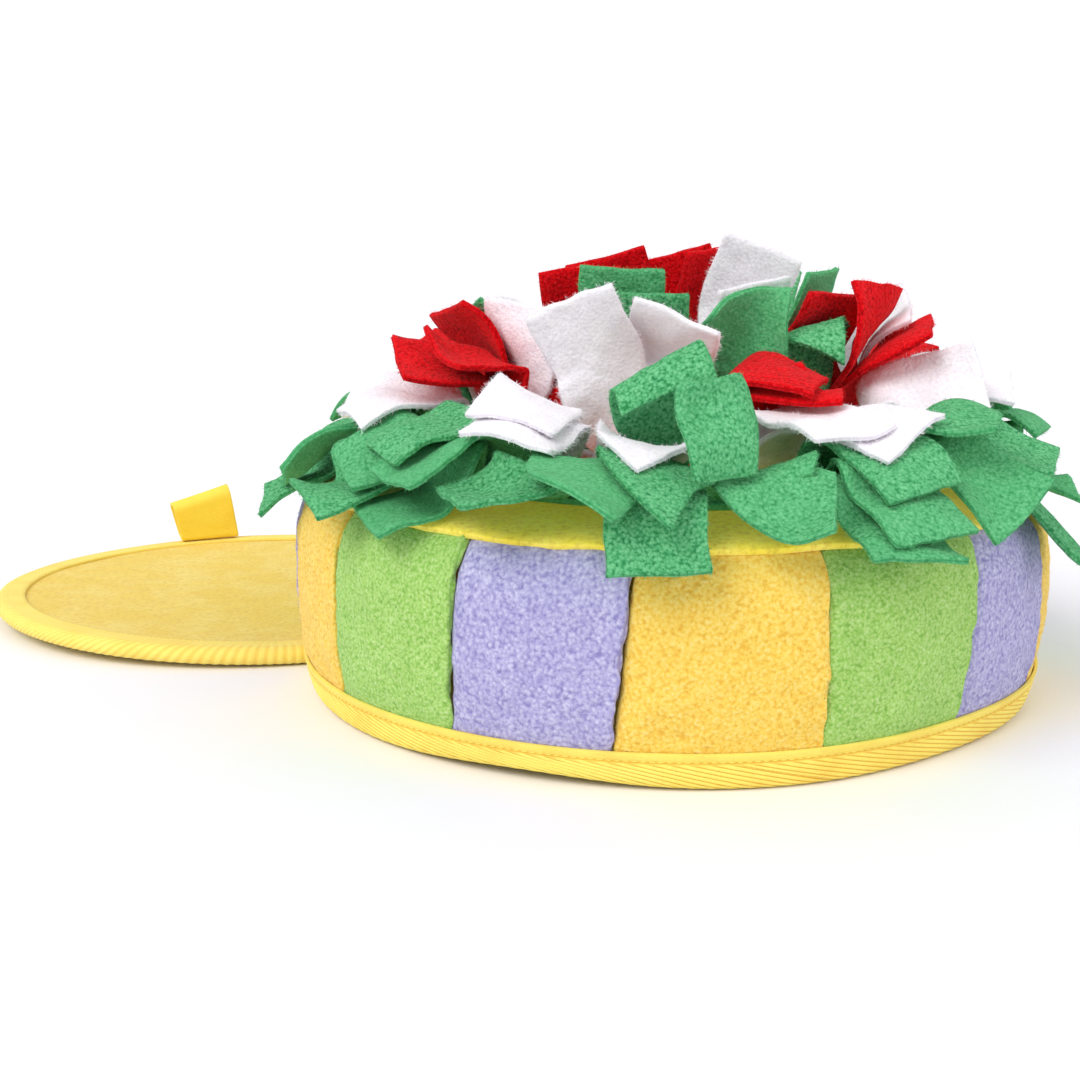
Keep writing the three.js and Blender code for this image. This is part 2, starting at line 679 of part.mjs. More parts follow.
// The nearest point of each other petal within reach of a sample
function nearestOthers(sample, cells) {
  const [cx, cy, cz] = cellOf(sample.point);
  const nearest = new Map();
  for (let x = cx - 1; x <= cx + 1; x++) {
    for (let y = cy - 1; y <= cy + 1; y++) {
      for (let z = cz - 1; z <= cz + 1; z++) {
        for (const other of cells.get(cellKey(x, y, z)) ?? []) {
          if (other.owner !== sample.owner) {
            const away = length(add(sample.point, other.point, -1));
            const best = nearest.get(other.owner);
            if (away < contactReach && (!best || away < best.away)) {
              nearest.set(other.owner, { other, away });
            }
          }
        }
      }
    }
  }
  return [...nearest.values()].map(({ other }) => other);
}

// Pushes a sample off another petal, along the upper face of the lower one
function pressFrom(sample, other) {
  const above = sample.owner > other.owner;
  const way = above ? other.normal : scaled(sample.normal, -1);
  const short = petalThickness + restGap - dot(add(sample.point, other.point, -1), way);
  if (short > 0) {
    sample.push = add(sample.push, way, short / 2);
    sample.hits += 1;
  }
}

function pressFromDrum(sample) {
  const [x, y, z] = sample.point;
  const r = Math.hypot(x, y);
  const cover = drumClearance + petalThickness / 2;
  const bed = topHeight(r) + topThickness + (r < rings[0].radius + stripWidth ? stripHeight : 0);
  if (r < seamRadius + 1 && z < bed + cover) {
    sample.push = add(sample.push, [0, 0, 1], bed + cover - z);
    sample.hits += 1;
  } else if (z < seamHeight + topThickness && r < wallRadius(Math.min(z, seamHeight)) + cover) {
    sample.push = add(sample.push, [x / r, y / r, 0], wallRadius(Math.min(z, seamHeight)) + cover - r);
    sample.hits += 1;
  }
}

// Moves a grid by its samples' pushes, evened out between neighbours, with the root held
function applyMoves(grid, pressed) {
  const sums = grid.map((row) => row.map(() => ({ push: [0, 0, 0], weight: 0 })));
  for (const { corners, push, hits } of pressed) {
    for (const [i, j, weight] of corners) {
      sums[i][j].push = add(sums[i][j].push, push, weight / hits);
      sums[i][j].weight += weight;
    }
  }
  const moves = sums.map((row) => row.map(({ push, weight }) => {
    return scaled(push, 1 / Math.max(weight, leastWeight));
  }));
  grid.forEach((row, i) => {
    const loose = Math.min(1, i / 2) * moveEase;
    row.forEach((point, j) => {
      const near = [moves[i][j], moves[i][j]];
      near.push(moves[Math.max(0, i - 1)][j], moves[Math.min(petalRows, i + 1)][j]);
      near.push(moves[i][Math.max(0, j - 1)], moves[i][Math.min(petalColumns, j + 1)]);
      const mean = scaled(near.reduce((sum, move) => add(sum, move)), 1 / near.length);
      row[j] = add(point, mean, loose);
    });
  });
}

// Lengths of the grid's own threads, along, across and on both diagonals
function restSpans(grid) {
  const spans = [];
  const steps = [[1, 0], [0, 1], [1, 1], [1, -1], [2, 0], [0, 2]];
  for (const [di, dj] of steps) {
    grid.forEach((row, i) => row.forEach((point, j) => {
      const other = grid[i + di]?.[j + dj];
      if (other) {
        const firmness = di === 2 || dj === 2 ? bendFirmness : threadFirmness;
        spans.push([i, j, i + di, j + dj, length(add(other, point, -1)), firmness]);
      }
    }));
  }
  return spans;
}

function keepSpans(grid, spans) {
  for (const [i, j, k, l, want, share] of spans) {
    const between = add(grid[k][l], grid[i][j], -1);
    const step = scaled(between, share * (1 - want / (length(between) || 1)) * 0.5);
    if (i > 0) {
      grid[i][j] = add(grid[i][j], step);
    }
    if (k > 0) {
      grid[k][l] = add(grid[k][l], step, -1);
    }
  }
}

// The origin is on the floor, under the middle of the whole part
const extent = new THREE.Box3().setFromObject(box);
const middle = extent.getCenter(new THREE.Vector3());
box.position.set(-middle.x, -middle.y, -extent.min.z);

export default box;
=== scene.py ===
import math

import bpy
import numpy as np
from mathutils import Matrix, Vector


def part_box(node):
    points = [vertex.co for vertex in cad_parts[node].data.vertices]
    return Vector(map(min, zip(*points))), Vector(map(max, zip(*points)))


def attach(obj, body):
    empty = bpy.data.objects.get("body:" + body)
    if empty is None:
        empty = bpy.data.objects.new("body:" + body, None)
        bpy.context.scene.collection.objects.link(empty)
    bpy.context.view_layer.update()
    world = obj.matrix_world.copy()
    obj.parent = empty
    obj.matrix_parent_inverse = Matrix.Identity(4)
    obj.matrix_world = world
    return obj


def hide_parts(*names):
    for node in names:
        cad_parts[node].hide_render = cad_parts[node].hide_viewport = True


# Soft round treat box of fleece and felt, standing on its open mouth with the lid folded out on the floor.
# Lengths are in millimetres around the drum's axis and are turned into metres when a mesh is made.
# Azimuths are degrees from the front (-Y), positive towards +X.
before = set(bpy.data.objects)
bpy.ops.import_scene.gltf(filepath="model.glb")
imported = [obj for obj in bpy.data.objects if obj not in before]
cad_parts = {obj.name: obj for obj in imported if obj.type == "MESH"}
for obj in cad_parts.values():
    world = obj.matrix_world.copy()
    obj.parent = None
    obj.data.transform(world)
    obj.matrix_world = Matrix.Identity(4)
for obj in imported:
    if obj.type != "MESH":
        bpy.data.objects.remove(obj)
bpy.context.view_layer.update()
mm = 0.001
topLow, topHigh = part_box("top_panel")
axisPlace = np.array([(topLow[0] + topHigh[0]) / 2, (topLow[1] + topHigh[1]) / 2, 0.0])
chance = np.random.default_rng(11)


def outward(azimuth):
    turn = np.radians(azimuth)
    return np.stack([np.sin(turn), -np.cos(turn), np.zeros_like(turn)], -1)


def around(azimuth):
    turn = np.radians(azimuth)
    return np.stack([np.cos(turn), np.sin(turn), np.zeros_like(turn)], -1)


def polar(azimuth, radius, height):
    azimuth, radius, height = np.broadcast_arrays(*(np.asarray(v, float) for v in (azimuth, radius, height)))
    return outward(azimuth) * radius[..., None] + np.stack([0 * height, 0 * height, height], -1)


def unit(vectors):
    return vectors / np.maximum(np.linalg.norm(vectors, axis=-1, keepdims=True), 1e-9)


def smooth(value, low, high):
    share = np.clip((value - low) / (high - low), 0, 1)
    return share * share * (3 - 2 * share)


# Drum: radii of the cloth wall's outside, and heights above the floor
drum = {
    "footRadius": 132.6, "bellyRadius": 139.5, "bellyHeight": 40, "seamRadius": 131, "seamHeight": 76,
    "footPower": 2, "seamPower": 4, "crownRise": 11, "crownPower": 2.4, "topThickness": 2.5,
    "footPull": 3.4, "footPullAt": 40, "footPullWidth": 20, "topSag": 1.3,
    "rimLift": 3.0, "rimLiftAt": -24, "rimLiftWidth": 17, "rimLiftHeight": 9,
}


def wallRadius(height):
    low = (drum["bellyHeight"] - height) / drum["bellyHeight"]
    high = (height - drum["bellyHeight"]) / (drum["seamHeight"] - drum["bellyHeight"])
    footIn = (drum["bellyRadius"] - drum["footRadius"]) * np.maximum(low, 0) ** drum["footPower"]
    seamIn = (drum["bellyRadius"] - drum["seamRadius"]) * np.maximum(high, 0) ** drum["seamPower"]
    return drum["bellyRadius"] - footIn - seamIn


def topHeight(radius):
    share = np.minimum(1, radius / drum["seamRadius"])
    return drum["seamHeight"] + drum["crownRise"] * (1 - share ** drum["crownPower"])


# Moves points of the even drum to where the soft cloth settles
def settled(points):
    x, y, z = points[..., 0], points[..., 1], points[..., 2]
    radius = np.maximum(np.hypot(x, y), 1e-6)
    azimuth = np.degrees(np.arctan2(x, -y))
    low = np.maximum(0, 1 - z / drum["seamHeight"])
    near = np.exp(-(((azimuth - drum["footPullAt"]) / drum["footPullWidth"]) ** 2))
    pull = drum["footPull"] * low * near / drum["footRadius"]
    sag = drum["topSag"] * np.minimum(1, z / drum["seamHeight"]) * x / drum["seamRadius"]
    aside = np.exp(-(((azimuth - drum["rimLiftAt"]) / drum["rimLiftWidth"]) ** 2))
    lift = drum["rimLift"] * aside * np.clip(1 - z / drum["rimLiftHeight"], 0, 1)
    return np.stack([x * (1 - pull), y * (1 - pull), z - sag + lift], -1)


# Weights that carry evenly spaced knots to evenly spaced points on a natural cubic spline
def splineWeights(knots, count):
    bend = np.eye(knots)
    right = np.zeros((knots, knots))
    for i in range(1, knots - 1):
        bend[i, i - 1:i + 2] = 1, 4, 1
        right[i, i - 1:i + 2] = 6, -12, 6
    curve = np.linalg.solve(bend, right)
    at = np.linspace(0, knots - 1, count)
    first = np.minimum(np.floor(at).astype(int), knots - 2)
    share = (at - first)[:, None]
    weights = (((1 - share) ** 3 - (1 - share)) * curve[first] + (share ** 3 - share) * curve[first + 1]) / 6
    rows = np.arange(count)
    weights[rows, first] += 1 - share[:, 0]
    weights[rows, first + 1] += share[:, 0]
    return weights


# Smooth random field over a batch of grids, about one in size
def ripple(batch, rows, columns, rowKnots, columnKnots):
    field = chance.standard_normal((batch, rowKnots, columnKnots))
    toRows = splineWeights(rowKnots, rows)
    toColumns = splineWeights(columnKnots, columns)
    return np.einsum("ri,pij,cj->prc", toRows, field, toColumns)


def gridNormals(grids, wrap=False):
    along = np.gradient(grids, axis=-3)
    across = np.gradient(grids, axis=-2)
    if wrap:
        across = (np.roll(grids, -1, -2) - np.roll(grids, 1, -2)) / 2
    return unit(np.cross(along, across)), unit(along), unit(across)


# Rows of points round a cut edge: how far out, how far up, and how much painted shade it gets, most in its
# groove
edgeRound = ((1.0, 0.62, 0.5), (0.6, 0.0, 1.0), (1.0, -0.62, 0.5))


# Closed cloth on a batch of grids of middle points: two faces and a rounded edge with a groove along it, and
# marks for painted shade along that edge
def clothMesh(grids, thickness, wrap=False, bulge=0.3):
    batch, rows, columns = grids.shape[:3]
    normals, along, across = gridNormals(grids, wrap)
    index = np.arange(rows * columns).reshape(rows, columns)
    away = np.zeros_like(grids)
    away[:, -1] += along[:, -1]
    away[:, 0] -= along[:, 0]
    if wrap:
        edges = [index[-1], index[0][::-1]]
        wide = np.concatenate([index, index[:, :1]], 1)
    else:
        away[:, :, 0] -= across[:, :, 0]
        away[:, :, -1] += across[:, :, -1]
        edges = [np.concatenate([index[:, 0], index[-1, 1:], index[-2::-1, -1], index[0, -2:0:-1]])]
        wide = index
    away = unit(away).reshape(batch, -1, 3)
    flat = grids.reshape(batch, -1, 3)
    lift = normals.reshape(batch, -1, 3)
    half = thickness / 2
    below = rows * columns
    points = [flat + lift * half, flat - lift * half]
    cut = [np.zeros((batch, below)), np.zeros((batch, below))]
    upper = np.stack([wide[:-1, :-1], wide[1:, :-1], wide[1:, 1:], wide[:-1, 1:]], -1).reshape(-1, 4)
    faces = [upper, upper[:, ::-1] + below]
    start = 2 * below
    for edge in edges:
        ring = len(edge)
        rims = [edge]
        for out, up, edgeShade in edgeRound:
            points.append(flat[:, edge] + away[:, edge] * (bulge * out) + lift[:, edge] * half * up)
            cut.append(np.full((batch, ring), edgeShade))
            rims.append(start + np.arange(ring))
            start += ring
        rims.append(edge + below)
        for one, other in zip(rims[:-1], rims[1:]):
            faces.append(np.stack([one, other, np.roll(other, -1), np.roll(one, -1)], -1))
    points = np.concatenate(points, 1)
    faces = np.concatenate(faces)
    allFaces = (faces[None] + (np.arange(batch) * start)[:, None, None]).reshape(-1, 4)
    return points.reshape(-1, 3), allFaces, np.concatenate(cut, 1).reshape(-1)


def makePiece(name, points, faces, material, marks=None):
    mesh = bpy.data.meshes.new(name)
    faces = np.asarray(faces, np.int32)
    mesh.vertices.add(len(points))
    mesh.vertices.foreach_set("co", (points * mm + axisPlace).astype(np.float32).ravel())
    mesh.loops.add(faces.size)
    mesh.loops.foreach_set("vertex_index", faces.ravel())
    mesh.polygons.add(len(faces))
    mesh.polygons.foreach_set("loop_start", np.arange(len(faces), dtype=np.int32) * faces.shape[1])
    mesh.update(calc_edges=True)
    mesh.validate()
    mesh.shade_smooth()
    for label, values in (marks or {}).items():
        vector = values.ndim == 2
        attribute = mesh.attributes.new(label, "FLOAT_VECTOR" if vector else "FLOAT", "POINT")
        attribute.data.foreach_set("vector" if vector else "value", values.astype(np.float32).ravel())
    mesh.materials.append(material)
    piece = bpy.data.objects.new(name, mesh)
    bpy.context.scene.collection.objects.link(piece)
    return piece


def addPiece(name, points, faces, material, slot, nodes=(), marks=None):
    piece = makePiece(name, points, faces, material, marks)
    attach(piece, "root")
    if nodes:
        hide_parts(*nodes)
    return piece


# Loose fibres of the nap: how unruly they are, how upright on a face, and how they stand at an edge
fuzzLie = {"bend": 0.25, "stray": 0.4, "leastUp": 0.35, "moreUp": 0.5, "edgeOut": 0.15, "edgeUp": 0.5}


# A thin sliver from each foot along its way
def fibres(feet, ways, lengths, width):
    aside = unit(np.cross(ways, chance.standard_normal(ways.shape))) * width / 2
    bent = ways + chance.standard_normal(ways.shape) * fuzzLie["bend"]
    tips = feet + unit(bent) * lengths[:, None]
    points = np.stack([feet - aside, feet + aside, tips], 1).reshape(-1, 3)
    return points, np.arange(len(points)).reshape(-1, 3)


# Feet and ways for fibres strewn on the upper face and the free edges of a batch of grids
def strew(grids, thickness, onFace, onEdge, firstRow=0):
    normals, along, across = gridNormals(grids)
    batch, rows, columns = grids.shape[:3]
    feet, ways = [], []
    for count, edge in ((onFace, False), (onEdge, True)):
        total = count * batch
        owner = np.repeat(np.arange(batch), count)
        row = firstRow + chance.random(total) * (rows - 1 - firstRow)
        column = chance.random(total) * (columns - 1)
        rise = np.ones(total)
        if edge:
            side = chance.integers(0, 5, total)  # 0 and 1 first side, 2 and 3 second, 4 end
            row = np.where(side == 4, rows - 1, row)
            column = np.where(side < 2, 0, np.where(side < 4, columns - 1, column))
            rise = chance.random(total) * 2 - 1
        i = np.minimum(row.astype(int), rows - 2)
        j = np.minimum(column.astype(int), columns - 2)
        s = (row - i)[:, None]
        t = (column - j)[:, None]
        corner = grids[owner, i, j] * (1 - s) * (1 - t) + grids[owner, i + 1, j] * s * (1 - t)
        corner = corner + grids[owner, i, j + 1] * (1 - s) * t + grids[owner, i + 1, j + 1] * s * t
        lift = normals[owner, i, j]
        feet.append(corner + lift * (rise * thickness / 2)[:, None])
        way = lift * (fuzzLie["leastUp"] + fuzzLie["moreUp"] * chance.random(total))[:, None]
        if edge:
            out = np.where((side == 4)[:, None], along[owner, i, j], across[owner, i, j])
            out = np.where((side < 2)[:, None], -out, out)
            feet[-1] = feet[-1] + out * fuzzLie["edgeOut"]
            way = out + lift * (rise * fuzzLie["edgeUp"])[:, None]
        ways.append(unit(way + chance.standard_normal(way.shape) * fuzzLie["stray"]))
    return np.concatenate(feet), np.concatenate(ways)


white = (1, 1, 1, 1)
black = (0, 0, 0, 1)
socketKinds = {1: "NodeSocketFloat", 3: "NodeSocketVector", 4: "NodeSocketColor"}


# Shared effects as node groups, each of which puts out a colour and a height
def makeGroup(name, inputs):
    group = bpy.data.node_groups.new(name, "ShaderNodeTree")
    for label, value in inputs.items():
        kind = socketKinds[np.size(value)]
        socket = group.interface.new_socket(name=label, in_out="INPUT", socket_type=kind)
        socket.default_value = value
    for label, kind in (("Color", "NodeSocketColor"), ("Height", "NodeSocketFloat")):
        group.interface.new_socket(name=label, in_out="OUTPUT", socket_type=kind)
    entry = group.nodes.new("NodeGroupInput")
    place = group.nodes.new("ShaderNodeTexCoord").outputs["Object"]
    return group, entry.outputs, place


def leaveGroup(group, colour, height):
    leave = group.nodes.new("NodeGroupOutput")
    group.links.new(colour, leave.inputs["Color"])
    group.links.new(height, leave.inputs["Height"])
    return group


def feed(tree, socket, value):
    if isinstance(value, bpy.types.NodeSocket):
        tree.links.new(value, socket)
    else:
        socket.default_value = value


def calc(tree, kind, first, second=0.0, third=0.0, clamp=False):
    node = tree.nodes.new("ShaderNodeMath")
    node.operation = kind
    node.use_clamp = clamp
    for socket, value in zip(node.inputs, (first, second, third)):
        feed(tree, socket, value)
    return node.outputs[0]


def noise(tree, place, scale, detail=2.0, rough=0.5):
    node = tree.nodes.new("ShaderNodeTexNoise")
    feed(tree, node.inputs["Vector"], place)
    feed(tree, node.inputs["Scale"], scale)
    node.inputs["Detail"].default_value = detail
    node.inputs["Roughness"].default_value = rough
    return node.outputs["Fac"], node.outputs["Color"]


def mixColour(tree, share, first, second):
    node = tree.nodes.new("ShaderNodeMix")
    node.data_type = "RGBA"
    feed(tree, node.inputs["Factor"], share)
    feed(tree, node.inputs[6], first)  # 6 and 7 are its colours, 2 is the colour that comes out
    feed(tree, node.inputs[7], second)
    return node.outputs[2]


def ranged(tree, value, low, high, bottom=0.0, top=1.0):
    node = tree.nodes.new("ShaderNodeMapRange")
    entries = {"Value": value, "From Min": low, "From Max": high, "To Min": bottom, "To Max": top}
    for label, entry in entries.items():
        feed(tree, node.inputs[label], entry)
    return node.outputs["Result"]


# In the groups' values a noise has a scale, a detail and, where it isn't a half, a roughness. A range has
# its two ends and, where they aren't nought and one, what comes out at each.
fleece = {
    "swirl": (2.0, 0.55),  # its scale is the group's own, Curls
    "drift": 0.0009,  # how far a curl wanders, in metres
    "fibre": (2600.0, 2.0, 0.6), "blotch": (90.0, 2.0),
    "curlShare": 0.4, "swirlShare": 0.45, "fibreShare": 0.3,
    "curlRange": (0.1, 0.9, 1.0, 0.0), "swirlRange": (0.25, 0.75),
    "creviceShadeRange": (0.56, 0.28), "tipHighlightRange": (0.56, 0.86),
    "blotchRange": (0.4, 0.75, 0.0, 0.2), "cutShadeRange": (0.6, 1.0, 0.0, 0.7),
}


# Curly nap of fleece: small rounded curls between soft crevices, fine fibre on top, faint blotches. The
# crevices are darkened as painted shade and the curls' tops lightened as a painted highlight
def fleeceGroup():
    group, entry, place = makeGroup("fleeceNap", {
        "Color": white, "ShadeAndBlotch": black, "TipHighlight": white, "Curls": 700.0, "Nap": 1.0, "CutShade": 0.0})
    swirl, drift = noise(group, place, entry["Curls"], *fleece["swirl"])
    warp = group.nodes.new("ShaderNodeVectorMath")
    warp.operation = "MULTIPLY_ADD"
    group.links.new(drift, warp.inputs[0])
    warp.inputs[1].default_value = [fleece["drift"]] * 3
    group.links.new(place, warp.inputs[2])
    cells = group.nodes.new("ShaderNodeTexVoronoi")
    group.links.new(warp.outputs[0], cells.inputs["Vector"])
    group.links.new(entry["Curls"], cells.inputs["Scale"])
    curl = ranged(group, cells.outputs["Distance"], *fleece["curlRange"])
    fine = noise(group, place, *fleece["fibre"])[0]
    blotch = noise(group, place, *fleece["blotch"])[0]
    swirl = ranged(group, swirl, *fleece["swirlRange"])
    height = calc(group, "MULTIPLY", curl, fleece["curlShare"])
    height = calc(group, "MULTIPLY_ADD", swirl, fleece["swirlShare"], height)
    height = calc(group, "MULTIPLY_ADD", fine, fleece["fibreShare"], height)
    # Painted shade in the nap's crevices, toward the second colour, and a painted highlight on the curls'
    # tops, toward the third
    deep = calc(group, "MULTIPLY", ranged(group, height, *fleece["creviceShadeRange"]), entry["Nap"])
    high = calc(group, "MULTIPLY", ranged(group, height, *fleece["tipHighlightRange"]), entry["Nap"])
    colour = mixColour(group, deep, entry["Color"], entry["ShadeAndBlotch"])
    colour = mixColour(group, high, colour, entry["TipHighlight"])
    colour = mixColour(group, ranged(group, blotch, *fleece["blotchRange"]), colour, entry["ShadeAndBlotch"])
    # Cut edges are darkened toward the second colour as painted shade, most in their groove
    colour = mixColour(group, ranged(group, entry["CutShade"], *fleece["cutShadeRange"]), colour, entry["ShadeAndBlotch"])
    return leaveGroup(group, colour, calc(group, "MULTIPLY", height, entry["Nap"]))


felt = {
    "mottle": (60.0, 4.0, 0.65), "fleck": (520.0, 3.0, 0.65), "fibre": (2600.0, 2.0), "fibreShare": 0.5,
    "paleRange": (0.4, 0.65, 0.0, 0.8), "darkRange": (0.55, 0.3, 0.0, 0.6),
}


# Matted wool of felt: pale mottling, short crossed fibres
def feltGroup():
    group, entry, place = makeGroup("feltFibre", {"Color": white, "Pale": white, "Dark": black})
    mottle = noise(group, place, *felt["mottle"])[0]
    fleck = noise(group, place, *felt["fleck"])[0]
    fine = noise(group, place, *felt["fibre"])[0]
    colour = mixColour(group, ranged(group, mottle, *felt["paleRange"]), entry["Color"], entry["Pale"])
    colour = mixColour(group, ranged(group, fleck, *felt["darkRange"]), colour, entry["Dark"])
    return leaveGroup(group, colour, calc(group, "MULTIPLY_ADD", fine, felt["fibreShare"], fleck))


weave = {
    "crossPitch": 0.55,  # from one thread across the cloth to the next, in millimetres
    "fibre": (2600.0, 3.0, 0.6), "fade": (70.0, 3.0), "waveShare": 0.25, "crossShare": 0.12,
    "fibreRange": (0.5, 0.3, 0.0, 0.3), "fadeRange": (0.45, 0.75, 0.0, 0.25),
    "lipRange": (1.0, 0.0, 0.0, 0.12),
    # Painted shade: the groove range darkens the grooves between the ribs and the seam range a line along the
    # lip's edge
    "grooveShadeRange": (0.45, -0.6, 0.0), "seamShadeRange": (0.5, 0.0, 0.0),  # up to the group's own Ridge and Seam
}


# Woven threads that follow a cloth's own along and across lengths, in millimetres, with painted shade in the
# grooves between the ribs and along the lip's edge
def weaveGroup():
    group, entry, place = makeGroup("wovenThread", {
        "Color": white, "Dark": black, "Weave": (0, 0, 0), "Pitch": 1.0, "GrooveShade": 0.0,
        "Lip": -100.0, "Seam": 0.0})
    parts = group.nodes.new("ShaderNodeSeparateXYZ")
    group.links.new(entry["Weave"], parts.inputs[0])
    along, across = parts.outputs["X"], parts.outputs["Y"]
    turns = calc(group, "DIVIDE", along, entry["Pitch"])
    wave = calc(group, "COSINE", calc(group, "MULTIPLY", turns, 2 * math.pi))
    cross = calc(group, "SINE", calc(group, "MULTIPLY", across, 2 * math.pi / weave["crossPitch"]))
    fine = noise(group, place, *weave["fibre"])[0]
    soft = noise(group, place, *weave["fade"])[0]
    height = calc(group, "MULTIPLY_ADD", cross, weave["crossShare"], fine)
    height = calc(group, "MULTIPLY_ADD", wave, weave["waveShare"], height)
    # Painted shade in the grooves between the ribs, below the lip
    groove = ranged(group, wave, *weave["grooveShadeRange"], entry["GrooveShade"])
    fromLip = calc(group, "SUBTRACT", across, entry["Lip"])
    belowLip = calc(group, "SUBTRACT", across, entry["Lip"], clamp=True)
    lipTint = ranged(group, belowLip, *weave["lipRange"])
    groove = calc(group, "MAXIMUM", calc(group, "MULTIPLY", groove, belowLip), lipTint)
    fromLip = calc(group, "ABSOLUTE", fromLip)
    # A painted shade line along the lip's edge
    seamShade = ranged(group, fromLip, *weave["seamShadeRange"], entry["Seam"])
    groove = calc(group, "MAXIMUM", groove, seamShade)
    colour = mixColour(group, groove, entry["Color"], entry["Dark"])
    colour = mixColour(group, ranged(group, fine, *weave["fibreRange"]), colour, entry["Dark"])
    colour = mixColour(group, ranged(group, soft, *weave["fadeRange"]), colour, entry["Dark"])
    return leaveGroup(group, colour, height)


fleeceNap = fleeceGroup()
feltFibre = feltGroup()
wovenThread = weaveGroup()


def linear(hexColour):
    parts = [int(hexColour[i:i + 2], 16) / 255 for i in (0, 2, 4)]
    return tuple(p / 12.92 if p <= 0.04045 else ((p + 0.055) / 1.055) ** 2.4 for p in parts) + (1.0,)


# A cloth material on one of the groups; inputs are the group's own, finish the shader's constant values
def clothMaterial(name, group, inputs, finish, bump, attributes=()):
    material = bpy.data.materials.new(name)
    material.use_nodes = True
    tree = material.node_tree
    shader = tree.nodes["Principled BSDF"]
    effect = tree.nodes.new("ShaderNodeGroup")
    effect.node_tree = group
    for label, value in inputs.items():
        effect.inputs[label].default_value = linear(value) if isinstance(value, str) else value
    for label, attribute in attributes:
        source = tree.nodes.new("ShaderNodeAttribute")
        source.attribute_name = attribute
        tree.links.new(source.outputs["Vector" if label == "Weave" else "Fac"], effect.inputs[label])
    relief = tree.nodes.new("ShaderNodeBump")
    relief.inputs["Strength"].default_value = bump["strength"]
    relief.inputs["Distance"].default_value = bump["depth"] * mm
    tree.links.new(effect.outputs["Height"], relief.inputs["Height"])
    tree.links.new(relief.outputs["Normal"], shader.inputs["Normal"])
    tree.links.new(effect.outputs["Color"], shader.inputs["Base Color"])
    for label, value in finish.items():
        shader.inputs[label].default_value = linear(value) if isinstance(value, str) else value
    return material


print("cloth groups ready")

# Wall patches
patchwork = {
    "thickness": 3, "foot": 2.4, "top": 75.1, "rows": 50, "columns": 44, "repeats": 5,
    "firstSeam": -10.9, "frontYellow": 27.9, "widths": {"yellow": 23.65, "green": 24.2, "lilac": 23.3},
    "slots": {"yellow": "patch_yellow", "green": "patch_lime", "lilac": "patch_lilac"},
    "dipReach": 4.0, "tuckReach": 1.1, "tuckShare": 0.75, "topDip": 1.3, "topReach": 2.6, "tapeEdge": 14.4,
    "clear": 0.8, "frontClear": 2.0, "leanFoot": 0.3, "waver": 0.3,
    "edgeSteps": (0, 0.35, 0.75, 1.2, 1.9, 2.9),
    "pucker": 0.7, "puckerReach": 9, "footPuckerSquare": 90, "puckerKnots": 8, "waverKnots": 10,
    "smallLump": 0.2, "smallKnots": (22, 18), "broadLump": 0.25, "broadKnots": (7, 6),
    "fadeBelow": 3, "fadeAbove": 6, "flatHeight": 78,
    "fuzz": 1500, "edgeFuzzPart": 8, "fuzzLength": 0.8, "leastFuzz": 0.5, "fuzzWidth": 0.12,
}
# Each fleece's second colour is painted shade for its nap's crevices and cut edges and the tone of its faint
# blotches; its third is a painted highlight on the curls' tops
patchColours = {
    "yellow": {"Color": "f2cf5c", "ShadeAndBlotch": "e4b042", "TipHighlight": "f7dd84", "Curls": 760.0},
    "green": {"Color": "a2cc6a", "ShadeAndBlotch": "7cae4c", "TipHighlight": "bfdd92", "Curls": 900.0},
    "lilac": {"Color": "aeaad3", "ShadeAndBlotch": "8882b9", "TipHighlight": "cdcae7", "Curls": 700.0},
}
# How deep each patch dips at its start, where its neighbour laps over it, and how its own lapping edge stands
patchEdges = {"yellow": (3.4, -0.2), "green": (1.8, 0.5), "lilac": (2.6, 0.2)}
# How far the seam at a patch's start leans over its height, in millimetres, where it isn't upright
seamLeans = {"1_yellow": 8.0, "1_lilac": 6.0, "5_lilac": 4.0}
fleeceFinish = {"Roughness": 0.95, "Specular IOR Level": 0.1, "Sheen Weight": 0.15, "Sheen Roughness": 0.5}
patchBump = {"strength": 0.9, "depth": 0.6}
fuzzBump = {"strength": 0.3, "depth": 0.2}


# Fleece in each of some colours, and the loose fuzz that stands on it
def fleecePair(place, colours, finish, bump, attributes):
    cloth, fuzz = {}, {}
    for colour, inputs in colours.items():
        cloth[colour] = clothMaterial(f"fleece_{place}{colour}", fleeceNap, inputs, finish, bump, attributes)
        # The fuzz gets no painted crevice shade, only the painted highlight on its curls
        plain = {**inputs, "ShadeAndBlotch": inputs["Color"]}
        fuzz[colour] = clothMaterial(f"fuzz_{place}{colour}", fleeceNap, plain, fleeceFinish, fuzzBump)
    return cloth, fuzz


